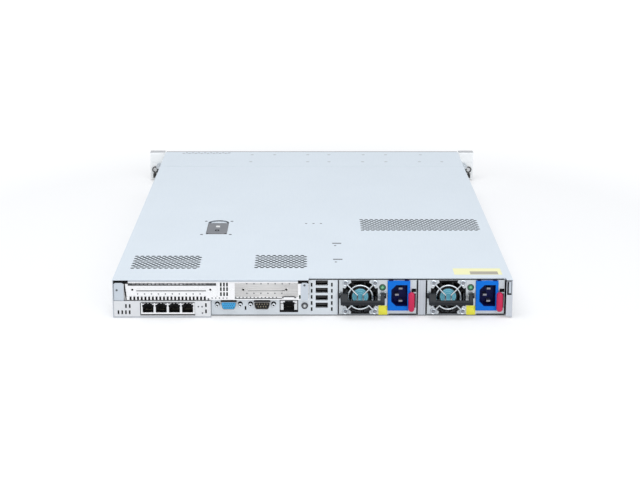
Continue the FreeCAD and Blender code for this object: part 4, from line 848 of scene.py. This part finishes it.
def buildJackTrim():
    wide, *rest = ports["combTooth"]
    rear, height = panelInset - ports["nutShade"][1] / 2, ports["height"] + ports["shadeLift"]
    shades = [(jackMouth, *place) for place in jackPlaces] + blocks(ports["cardShades"])
    shades += [(block, start, start + wide, *rest) for start in series(*ports["comb"])]
    shades += [(block, *onPanel(*shade)) for shade in ports["panelShades"]]
    shades += [(rod, spot(left, rear, height), "along", *ports["nutShade"]) for left in ports["screwLefts"]]
    makePiece("port_shades", "black_plastic", "gapBlack", shades, smooth=False)
    for name, finish, key in (("jack_sill", "slotSheet", "sill"),
                              ("jack_sill_shade", "bandDark", "sillShade")):
        makePiece(name, "jack_shield", finish, [(softBlock, ports["sillEdge"], 1, *ports[key])])
    lenses = [(dome, spot(left, 0, height), "along", *ports["cardLens"])
              for left, height in ports["cardLenses"]]
    makePiece("card_lenses", "video_blue", "markGrey", lenses)
    windows = [(block, *onPanel(*sides, *ports["managementLens"])) for sides in ports["managementLenses"]]
    makePiece("management_lenses", "ear_plastic", "lensPale", windows, edge=ports["lensEdge"])


ventShades = {
    "slotHalf": (1.3, 2.7), "backing": (1.15, 1.45),
    "panelColumns": (216.2, 238.2), "panelRows": (34.9, -6.93, 5), "between": (143.95, 8.4),
    "cardSlots": ((14.3, 13.0), (18.4, 13.0), (6.0, 6.0), (10.1, 6.0), (14.1, 6.0), (18.2, 6.0), (101.2, 7.0),
                  (101.2, 14.1)),
    "usbRows": (37.1, -8.45, 4), "usb": (220.6, 233.8, -0.1, 0.2), "usbHalf": 2.8, "usbEdge": 0.5,
}


def buildVentShades():
    # painted shade: black sheets behind the slots, and dark rims round the stacked ports
    rows = series(*ventShades["panelRows"])
    panelSlots = [(left, height) for left in ventShades["panelColumns"] for height in rows]
    panelSlots.append(ventShades["between"])
    wide, tall = ventShades["slotHalf"]
    shades = []
    for slots, face in ((panelSlots, panelInset), (ventShades["cardSlots"], 0.0)):
        near, far = (face + depth for depth in ventShades["backing"])
        shades += [(block, left - wide, left + wide, near, far, height - tall, height + tall)
                   for left, height in slots]
    half = ventShades["usbHalf"]
    for height in series(*ventShades["usbRows"]):
        port = onPanel(*ventShades["usb"], height - half, height + half)
        shades.append((rim, *port, ventShades["usbEdge"]))
    makePiece("vent_shades", "black_plastic", "gapBlack", shades, smooth=False)


def buildLocatorTrim():
    face = fromRear(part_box("rear_id_button")[1].y)
    left, height = ports["button"]
    # the dark rim is painted shade in the gap round the button
    ring = (hoop, spot(left, face, height), "along", *ports["buttonRim"])
    makePiece("button_rim", "black_plastic", "bandDark", [ring], "rear_id_button")
    place = spot(left, face + ports["buttonSunk"], height)
    window = [(dome, place, "along", *ports["buttonDome"]), (hoop, place, "along", *ports["buttonRing"])]
    makePiece("button_lens", "ear_plastic", "lensPale", window, "rear_id_button")


buildPortScrews()
buildPortContacts()
buildJackTrim()
buildVentShades()
buildLocatorTrim()
print("ports dressed")


# Power supplies: places count from a supply's left wall, its face and its foot

supply = {
    "fan": (23.9, 19.5), "screwPitch": 32.0, "ring": (13.5, 0.85, 56, 12), "washer": (2.8, 0.68, 28, 10),
    "wire": 0.85, "wireSides": 12, "bend": (3.0, 2.4), "lap": 0.4,
    "frame": (4.8, 43.0, -0.15, 0.15, 0.4, 38.6), "mouth": (17.6, 4.0, 64),
    "lobe": (6.2, 32), "lobeShares": (1.0, 1.6), "lobeDepth": 2.0,
    "screw": (2.6, 2.0), "screwRear": -1.05, "drive": (1.3, 0.3, 6), "driveRear": -1.5,
    "disc": (8.8, 0.3, 48), "discRear": 2.9, "discEdge": 0.1, "discRings": (0.4, 0.66, 0.9),
    "discRing": (0.22, 40, 6), "ringRear": 2.8,
    "lens": (48.1, 0.0, 30.5), "lensRim": (3.1, 0.7, 32, 8), "lensDome": (3.2, 0.9, 24, 12),
    # the glint is a painted highlight on the status lens
    "glint": (48.1, -0.6, 30.5), "glintDome": (1.52, 0.5, 20, 10),
    "tag": ((43.9, 53.7, -0.35, 0.1, -0.5, 9.9), (45.4, 52.2, -0.84, 0.0, 0.9, 7.3)), "tagEdge": 0.15,
    "shades": ((79.9, 84.9, 0.2, 0.8, 25.2, 29.1), (55.0, 85.2, -0.12, 0.1, -0.3, 0.7)),  # catch, foot gap
    "strip": 0.8, "stripBox": (-0.1, 0.3, 0.4, 38.6), "stripEdge": 0.06,
    "pivot": (-3.5, 22.0), "grip": (-11.1, 16.3), "span": (2.3, 50.2), "arms": (8.2, 4.5), "armSides": 20,
    "bar": 2.85, "barRound": 0.5, "barInset": (0.15, 2.0, 28),  # thinner, shorter, sides
    "lugs": ((0.5, 2.1), (50.4, 52.1)), "lug": (2.95, 20), "lugGap": 0.1,
    "release": (76.2, 82.8, -8.8, -3.8, 4.75, 26.45), "releaseSides": 24,
    "releaseNear": ((0.0, 1.3), (0.5, 0.4), (1.4, 0.0)),  # depth, shrink
    "releaseFar": ((-0.6, 0.0), (0.0, 0.6)), "stem": (81.25, 82.75, -3.8, 20.0, 7.7, 23.5),
    "inlet": (53.8, 78.2, -3.0, 16.0, 4.8, 38.2), "inletEdge": 0.5, "socketMiddle": 66.4, "slant": 5.4,
    "socket": (57.6, 75.2, -5.0, 14.0, 9.8, 34.0), "lining": (57.65, 75.15, -1.8, 13.95, 9.85, 33.95),
    "liningWall": 0.6, "liningDepth": 14.6,
    "snapNotchShades": ((55.2, 59.6, -2.4, 0.4, 38.2, 39.0), (72.4, 76.8, -2.4, 0.4, 38.2, 39.0)), "notchShadeEdge": 0.15,
}


def supplyUnit(number):
    low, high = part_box(f"psu_{number}_case")
    width = (high.x - low.x) / mm
    return {"name": f"psu_{number}", "left": fromLeft(high.x), "foot": low.z / mm, "width": width}


def unitSpot(unit, left, rear, height):
    return spot(unit["left"] + left, panelInset + rear, unit["foot"] + height)


def unitBox(unit, left, right, rear, front, low, high):
    wall, foot = unit["left"], unit["foot"]
    return onPanel(wall + left, wall + right, rear, front, foot + low, foot + high)


def unitBlocks(unit, boxes):
    return blocks(unitBox(unit, *box) for box in boxes)


def unitPiece(unit, label, slotName, finish, shapes, part="", stands="", **options):
    name = unit["name"]
    replaced = (f"{name}_{stands}",) if stands else ()
    makePiece(f"{name}_{label}", slotName, finish, shapes, name + part, stands=replaced, **options)


def wireRun(bm, start, end):
    # a round wire with ball ends, so bent runs join cleanly
    radius, sides = supply["wire"], supply["wireSides"]
    line = end - start
    turn = line.to_track_quat("Z", "Y").to_matrix().to_4x4()
    run = Matrix.Translation((start + end) / 2) @ turn
    bmesh.ops.create_cone(bm, cap_ends=True, segments=sides, radius1=radius * mm, radius2=radius * mm,
                          depth=line.length, matrix=run)
    for place in (start, end):
        dome(bm, place, "up", radius, radius, sides)


def buildGuard(unit):
    centre, height = supply["fan"]
    half = supply["screwPitch"] / 2
    reach = half - supply["washer"][0] * math.sqrt(0.5)
    crossing = -supply["wire"] - supply["lap"]
    bendAcross, bendUp = supply["bend"]
    shapes = [(hoop, unitSpot(unit, centre, -supply["wire"], height), "along", *supply["ring"])]
    for across in (-1, 1):
        knees = []
        for up in (-1, 1):
            corner = unitSpot(unit, centre + across * half, -supply["wire"], height + up * half)
            start = unitSpot(unit, centre + across * reach, crossing, height + up * reach)
            knees.append(unitSpot(unit, centre + across * bendAcross, crossing, height + up * bendUp))
            shapes += [(hoop, corner, "along", *supply["washer"]), (wireRun, start, knees[-1])]
        shapes.append((wireRun, *knees))
    unitPiece(unit, "wire_guard", "chrome_wire", "brightWire", shapes, stands="fan_guard")


def buildFanFace(unit):
    centre, height = supply["fan"]
    half, deep = supply["screwPitch"] / 2, supply["lobeDepth"]
    corners = [(across * half, up * half) for across in (-1, 1) for up in (-1, 1)]
    cuts = [[(rod, unitSpot(unit, centre, 0, height), "along", *supply["mouth"])]]
    for across, up in corners:
        lobe = [(unitSpot(unit, centre + across * share, rear, height + up * share), "along", *supply["lobe"])
                for share in supply["lobeShares"] for rear in (-deep, deep)]
        cuts.append([(wrapped, lobe)])
    plate = unitBlocks(unit, [supply["frame"]])
    unitPiece(unit, "fan_frame", "fan_plastic", "gapBlack", plate, smooth=False, cuts=cuts)
    # the dark discs in the fan screws' drive recesses are painted shade
    for label, maker, rear, size, slotName, finish, smooth in (
            ("fan_screws", screwHead, supply["screwRear"], supply["screw"],
             "bright_steel", "bracketSheet", True),
            ("screw_drive_shades", rod, supply["driveRear"], supply["drive"],
             "black_plastic", "trimGrey", False)):
        shapes = [(maker, unitSpot(unit, centre + across, rear, height + up), "along", *size)
                  for across, up in corners]
        unitPiece(unit, label, slotName, finish, shapes, smooth=smooth)
    hub = unitSpot(unit, centre, supply["discRear"], height)
    disc = (softRod, supply["discEdge"], hub, "along", *supply["disc"])
    unitPiece(unit, "hub_disc", "video_blue", "tealDisc", [disc], "_fan")
    face = unitSpot(unit, centre, supply["ringRear"], height)
    radius = supply["disc"][0]
    rings = [(hoop, face, "along", radius * share, *supply["discRing"]) for share in supply["discRings"]]
    unitPiece(unit, "hub_rings", "video_blue", "paleDisc", rings, "_fan")


def buildSupplyTrim(unit):
    for label, maker, place, size, slotName, finish in (
            ("lens_rim", hoop, "lens", "lensRim", "black_plastic", "lensRim"),
            ("lens", dome, "lens", "lensDome", "video_blue", "lensGreen"),
            ("lens_glint", dome, "glint", "glintDome", "video_blue", "lensGlint")):
        shape = (maker, unitSpot(unit, *supply[place]), "along", *supply[size])
        unitPiece(unit, label, slotName, finish, [shape])
    tag = unitBlocks(unit, supply["tag"])
    unitPiece(unit, "tag", "release_red", "tagYellow", tag, edge=supply["tagEdge"])
    wide = supply["strip"]
    shades = unitBlocks(unit, supply["shades"])
    for start in (0, unit["width"] - wide):
        strip = unitBox(unit, start, start + wide, *supply["stripBox"])
        shades.append((softBlock, supply["stripEdge"], 1, *strip))
    unitPiece(unit, "shade_strips", "black_plastic", "gapBlack", shades)


def buildHandle(unit):
    start, end = supply["span"]
    ends = (supply["pivot"], supply["grip"])
    radius, rounding, sides = supply["bar"], supply["barRound"], supply["armSides"]
    leftArm, rightArm = supply["arms"]
    shapes = []
    for near, far in ((start, start + leftArm), (end - rightArm, end)):
        profile = ((near, radius - rounding), (near + rounding, radius), (far - rounding, radius),
                   (far, radius - rounding))
        arm = [(unitSpot(unit, edge, *place), "across", size, sides)
               for edge, size in profile for place in ends]
        shapes.append((wrapped, arm))
    inset, shorter, barSides = supply["barInset"]
    middle = unitSpot(unit, (start + end) / 2, *supply["grip"])
    shapes.append((rod, middle, "across", radius - inset, end - start - shorter, barSides))
    unitPiece(unit, "bail", "handle_plastic", "handleBlack", shapes, "_pull", "handle")
    pivotRear, pivotHeight = supply["pivot"]
    rears = (pivotRear, -supply["lug"][0] - supply["lugGap"])
    lugs = [(wrapped, [(unitSpot(unit, edge, rear, pivotHeight), "across", *supply["lug"])
                       for edge in lug for rear in rears]) for lug in supply["lugs"]]
    unitPiece(unit, "lug_caps", "handle_plastic", "handleBlack", lugs)


def buildRelease(unit):
    left, right, rear, front, low, high = supply["release"]
    radius = (right - left) / 2
    layers = [(rear + depth, radius - shrink) for depth, shrink in supply["releaseNear"]]
    layers += [(front + depth, radius - shrink) for depth, shrink in supply["releaseFar"]]
    tab = [(unitSpot(unit, left + radius, depth, height), "along", size, supply["releaseSides"])
           for height in (low + radius, high - radius) for depth, size in layers]
    shapes = [(wrapped, tab), *unitBlocks(unit, [supply["stem"]])]
    unitPiece(unit, "release_tab", "release_red", "releaseRed", shapes, "_catch", "release")


def slantedBlock(bm, unit, box):
    # a socket's outline: a box with its two left corners cut off
    block(bm, *unitBox(unit, *box))
    middle = unitSpot(unit, supply["socketMiddle"], 0, 0).x
    corners = [edge for edge in bm.edges if abs(edge.verts[0].co.y - edge.verts[1].co.y) > mm
               and edge.verts[0].co.x > middle]
    bevelled(bm, corners, supply["slant"], 1)


def socketLining(bm, unit):
    slantedBlock(bm, unit, supply["lining"])
    mouthFace = max(bm.faces, key=lambda face: face.calc_center_median().y)
    bmesh.ops.inset_region(bm, faces=[mouthFace], thickness=supply["liningWall"] * mm)
    bmesh.ops.translate(bm, vec=(0, -supply["liningDepth"] * mm, 0), verts=mouthFace.verts)


def buildInlet(unit):
    body = unitBlocks(unit, [supply["inlet"]])
    socket = [(slantedBlock, unit, supply["socket"])]
    unitPiece(unit, "inlet_block", "inlet_blue", "inletBlue", body, stands="inlet", edge=supply["inletEdge"],
              smooth=False, cuts=[socket])
    # the dark navy lining inside the socket is painted shade
    unitPiece(unit, "socket_shade", "inlet_blue", "socketNavy", [(socketLining, unit)], smooth=False)
    # the small dark navy blocks over the snap notches are painted shade
    notchShades = unitBlocks(unit, supply["snapNotchShades"])
    unitPiece(unit, "snap_notch_shades", "black_plastic", "socketNavy", notchShades, edge=supply["notchShadeEdge"])


for number in (1, 2):
    for build in (buildGuard, buildFanFace, buildSupplyTrim, buildHandle, buildRelease, buildInlet):
        build(supplyUnit(number))
print("power supplies dressed")


# Front edge trim and ear fittings

frontTrim = {
    "strip": (0.3, 434.3, 692.05, 697.8, 41.75, 42.75), "stripEdge": 0.3,
    "cap": (-23.7, -1.8, 692.4, 703.6, 41.85, 42.7), "capEdge": 0.35,
    "dashes": (25.2, 4.5, 16), "dashSize": (3.3, 2.8), "dashRows": (680.6, 684.8), "film": 0.06,
    "ringLeft": -16.8, "ringPlace": (690.6, 16.3), "ring": (3.9, 0.8, 32, 10),
    "hookEnds": ((-18.4, 5.2, 1.3), (-17.4, 9.2, 2.4)), "hookLayers": ((684.5, 0.6), (689.2, 0.0)),
    "hookSides": 20,
}


def buildFrontTrim():
    strip = (block, *frontTrim["strip"])
    makePiece("front_edge_strip", "zinc_sheet", "trimGrey", [strip], edge=frontTrim["stripEdge"])
    caps = blocks([frontTrim["cap"], mirrored(*frontTrim["cap"])])
    makePiece("ear_caps", "ear_plastic", "earCap", caps, edge=frontTrim["capEdge"])
    wide, deep = frontTrim["dashSize"]
    film = frontTrim["film"]
    dashes = []
    for step, start in enumerate(series(*frontTrim["dashes"])):
        rear = frontTrim["dashRows"][step % 2]
        dashes.append((block, start, start + wide, rear, rear + deep, coverTop - film, coverTop + film))
    makePiece("panel_vent_dashes", "black_plastic", "trimGrey", dashes, smooth=False)
    rings = [(hoop, spot(left, *frontTrim["ringPlace"]), "along", *frontTrim["ring"])
             for left in (frontTrim["ringLeft"], bodyWidth - frontTrim["ringLeft"])]
    makePiece("ear_screw_rings", "black_plastic", "blackMould", rings)
    for side in ("left", "right"):
        hook = []
        for left, height, size in frontTrim["hookEnds"]:
            place = left if side == "left" else bodyWidth - left
            hook += [(spot(place, rear, height), "along", size - shrink, frontTrim["hookSides"])
                     for rear, shrink in frontTrim["hookLayers"]]
        makePiece(f"{side}_ear_hook", "black_plastic", "blackMould", [(wrapped, hook)], f"{side}_ear_lever")


# Drive carriers, front controls, ear grips and wall rivets

carrierTrim = {
    "lensLeft": 60.4, "lensRise": 2.6, "lens": (1.0, 0.45), "leverGap": 0.3, "proud": 0.3, "edge": 0.2,
    "pad": (6.4, 14.8), "padHalf": 2.7, "ribs": (40.0, 2.4, 5), "ribWide": 1.1, "ribHalf": 3.1,
}
controls = {
    "usbLefts": (30.0, 47.0), "usbSize": (13.4, 5.9), "usbRim": 0.7, "usbSunk": 0.15, "level": 12.2,
    "tongue": (1.6, 5.0, 0.6, 1.8), "tongueFront": 0.6, "tongueEdge": 0.2,
    "statusLefts": (11.5, 16.0, 20.5), "statusHeight": 21.6, "status": (1.0, 0.4),
    "buttonLeft": 16.0, "buttonRing": (6.6, 0.4), "buttonGlow": (3.5, 0.35),
}
earGrip = {"inset": 1.0, "sides": (-17.2, -6.8), "rows": (8.2, 3.2, 9), "size": (1.3, 0.4), "edge": 0.2}
wallTrim = {
    "rivets": (30.0, 150.0, 270.0, 430.0), "heights": (6.5, 35.5), "rivet": (1.8, 0.4, 14, 6), "strap": 1.5,
    "strapScrews": (630.0, 652.0, 674.0), "strapHeight": 21.4, "strapScrew": (2.6, 0.8, 18, 8),
}


def buildCarrierTrim(number):
    low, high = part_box(f"drive_{number}")
    left, face, middle = fromLeft(high.x), fromRear(low.y), (low.z + high.z) / 2 / mm
    rise = carrierTrim["lensRise"]
    lenses = [(dome, spot(left + carrierTrim["lensLeft"], face, height), "front", *carrierTrim["lens"])
              for height in (middle - rise, middle + rise)]
    makePiece(f"drive_{number}_lenses", "video_blue", "lensGlint", lenses, f"drive_{number}")
    lever, proud = face - carrierTrim["leverGap"], carrierTrim["proud"]
    ribs = [(rib, rib + carrierTrim["ribWide"]) for rib in series(*carrierTrim["ribs"])]
    pad = [carrierTrim["pad"]]
    for label, finish, spans, half in (("release_pad", "buttonGrey", pad, carrierTrim["padHalf"]),
                                       ("grip_ribs", "panelGrey", ribs, carrierTrim["ribHalf"])):
        sides = (lever - proud, lever + proud, middle - half, middle + half)
        shapes = [(block, left + start, left + end, *sides) for start, end in spans]
        makePiece(f"drive_{number}_{label}", "handle_plastic", finish, shapes, f"drive_lever_{number}",
                  carrierTrim["edge"])


def buildControls():
    face = fromRear(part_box("front_panel")[0].y)
    cap = fromRear(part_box("power_button")[0].y)
    wide, tall = controls["usbSize"]
    level, outer = controls["level"], face + controls["usbSunk"]
    side, deep, low, high = controls["tongue"]
    tip = face - controls["tongueFront"]
    rims, tongues = [], []
    for left in controls["usbLefts"]:
        right, foot, head = left + wide, level - tall / 2, level + tall / 2
        rims.append((rim, left, right, face - deep, outer, foot, head, controls["usbRim"]))
        tongues.append((block, left + side, right - side, face - deep, tip, level + low, level + high))
    makePiece("front_usb_rims", "jack_shield", "brightWire", rims, smooth=False)
    makePiece("front_usb_tongues", "black_plastic", "blackMould", tongues, edge=controls["tongueEdge"])
    lenses = [(dome, spot(left, face, controls["statusHeight"]), "front", *controls["status"])
              for left in controls["statusLefts"]]
    makePiece("front_status_lenses", "video_blue", "lensGlint", lenses)
    ring = (hoop, spot(controls["buttonLeft"], face, level), "front", *controls["buttonRing"])
    makePiece("power_button_ring", "black_plastic", "blackMould", [ring])
    glow = (hoop, spot(controls["buttonLeft"], cap, level), "front", *controls["buttonGlow"])
    makePiece("power_button_glow", "video_blue", "lensGlint", [glow], "power_button")


def buildEarGrips():
    face = fromRear(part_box("rack_ears")[0].y) - earGrip["inset"]
    tall, proud = earGrip["size"]
    for name, sides in (("left", earGrip["sides"]), ("right", mirrored(*earGrip["sides"]))):
        grips = [(block, *sides, face - proud, face + proud, foot, foot + tall)
                 for foot in series(*earGrip["rows"])]
        makePiece(f"{name}_ear_grips", "handle_plastic", "handleBlack", grips, f"{name}_ear_lever",
                  earGrip["edge"])


def buildWallTrim():
    heads = []
    for wall, strap in ((0.0, -wallTrim["strap"]), (bodyWidth, bodyWidth + wallTrim["strap"])):
        heads += [(dome, spot(wall, rear, height), "across", *wallTrim["rivet"])
                  for rear in wallTrim["rivets"] for height in wallTrim["heights"]]
        heads += [(dome, spot(strap, rear, wallTrim["strapHeight"]), "across", *wallTrim["strapScrew"])
                  for rear in wallTrim["strapScrews"]]
    makePiece("wall_rivets", "zinc_sheet", "supplySteel", heads)


buildFrontTrim()
for number in (1, 2, 3, 4):
    buildCarrierTrim(number)
buildControls()
buildEarGrips()
buildWallTrim()
print("front dressed")


# Floor, light and camera

studio = {
    "floorSize": 16.0, "floorDrop": 0.4, "floorColour": (0.93, 0.93, 0.94), "floorRough": 0.9,
    "glow": 1.2, "nearShare": 0.25, "farShare": 0.95, "glowReach": (0.48, 1.0),
    "ambient": 0.62, "ambientColour": (0.94, 0.97, 1.0),
    "lamps": (("overhead", (0.4, 0.6, 2.4), (0.0, 0.05, 0.0), 2.2, 26.0),
              ("rearFill", (-1.0, 2.8, 1.3), (0.0, 0.1, 0.0), 2.2, 20.0)),
}
photoLens = {
    "focal": 91.97, "sensor": 36.0, "pitch": 14.596, "yaw": 0.374, "roll": 0.0878,
    "place": (0.00327, 1.70305, 0.53075),  # across, behind the rear edge, up
}


def seenDirectly(tree):
    # one where the camera sees the surface or its reflection
    path = node(tree, "ShaderNodeLightPath")
    return path, mathNode(tree, "MAXIMUM", path.outputs["Is Camera Ray"], path.outputs["Is Glossy Ray"])


def buildFloor():
    bm = bmesh.new()
    bmesh.ops.create_grid(bm, x_segments=1, y_segments=1, size=studio["floorSize"] / 2,
                          matrix=Matrix.Translation((0, 0, -studio["floorDrop"] * mm)))
    mesh = bpy.data.meshes.new("studioFloor")
    bm.to_mesh(mesh)
    bm.free()
    floor = bpy.data.objects.new("studioFloor", mesh)
    scene.collection.objects.link(floor)
    material = bpy.data.materials.new("studioFloor")
    material.use_nodes = True
    tree = material.node_tree
    shader = tree.nodes["Principled BSDF"]
    plug(tree, shader, {"Base Color": studio["floorColour"], "Roughness": studio["floorRough"],
                        "Specular IOR Level": 0.0})
    glow = node(tree, "ShaderNodeEmission", {"Strength": studio["glow"]})
    _, seen = seenDirectly(tree)
    away = node(tree, "ShaderNodeVectorMath", {0: objectCoords(tree)}, operation="LENGTH").outputs["Value"]
    # the floor turns plain white away from the part
    share = remapped(tree, away, *studio["glowReach"], studio["nearShare"], studio["farShare"])
    factor = mathNode(tree, "MULTIPLY", seen, share)
    blend = node(tree, "ShaderNodeMixShader", {0: factor, 1: shader.outputs[0], 2: glow.outputs[0]})
    plug(tree, tree.nodes["Material Output"], {"Surface": blend.outputs[0]})
    mesh.materials.append(material)


def buildWorld():
    world = bpy.data.worlds.new("studio")
    scene.world = world
    world.use_nodes = True
    tree = world.node_tree
    path, seen = seenDirectly(tree)
    seen = mathNode(tree, "MAXIMUM", seen, path.outputs["Is Transmission Ray"])
    ambient = studio["ambient"]
    plug(tree, tree.nodes["Background"], {
        "Color": mixColours(tree, seen, studio["ambientColour"], (1.0, 1.0, 1.0)),
        "Strength": mathNode(tree, "MULTIPLY_ADD", seen, 1.0 - ambient, ambient)})


def buildLamps():
    for name, place, aim, size, power in studio["lamps"]:
        data = bpy.data.lights.new(name, "AREA")
        data.shape = "DISK"
        data.size = size
        data.energy = power
        lamp = bpy.data.objects.new(name, data)
        lamp.location = place
        lamp.rotation_euler = (Vector(aim) - Vector(place)).to_track_quat("-Z", "Y").to_euler()
        scene.collection.objects.link(lamp)


def buildCamera():
    pitch, yaw, roll = (math.radians(photoLens[key]) for key in ("pitch", "yaw", "roll"))
    forward = Vector((-math.sin(yaw) * math.cos(pitch), -math.cos(yaw) * math.cos(pitch), -math.sin(pitch)))
    side = Vector((-math.cos(yaw), math.sin(yaw), 0))
    rise = side.cross(forward)
    right = math.cos(roll) * side + math.sin(roll) * rise
    up = right.cross(forward)
    turn = Matrix((right, up, -forward)).transposed().to_4x4()
    data = bpy.data.cameras.new("photoCamera")
    data.lens = photoLens["focal"]
    data.sensor_width = photoLens["sensor"]
    data.sensor_fit = "HORIZONTAL"
    camera = bpy.data.objects.new("photoCamera", data)
    across, behind, height = photoLens["place"]
    camera.matrix_world = Matrix.Translation((across, rearEdge + behind, height)) @ turn
    scene.collection.objects.link(camera)
    scene.camera = camera


buildFloor()
buildWorld()
buildLamps()
buildCamera()
scene.view_settings.view_transform = "Standard"
print("studio ready")
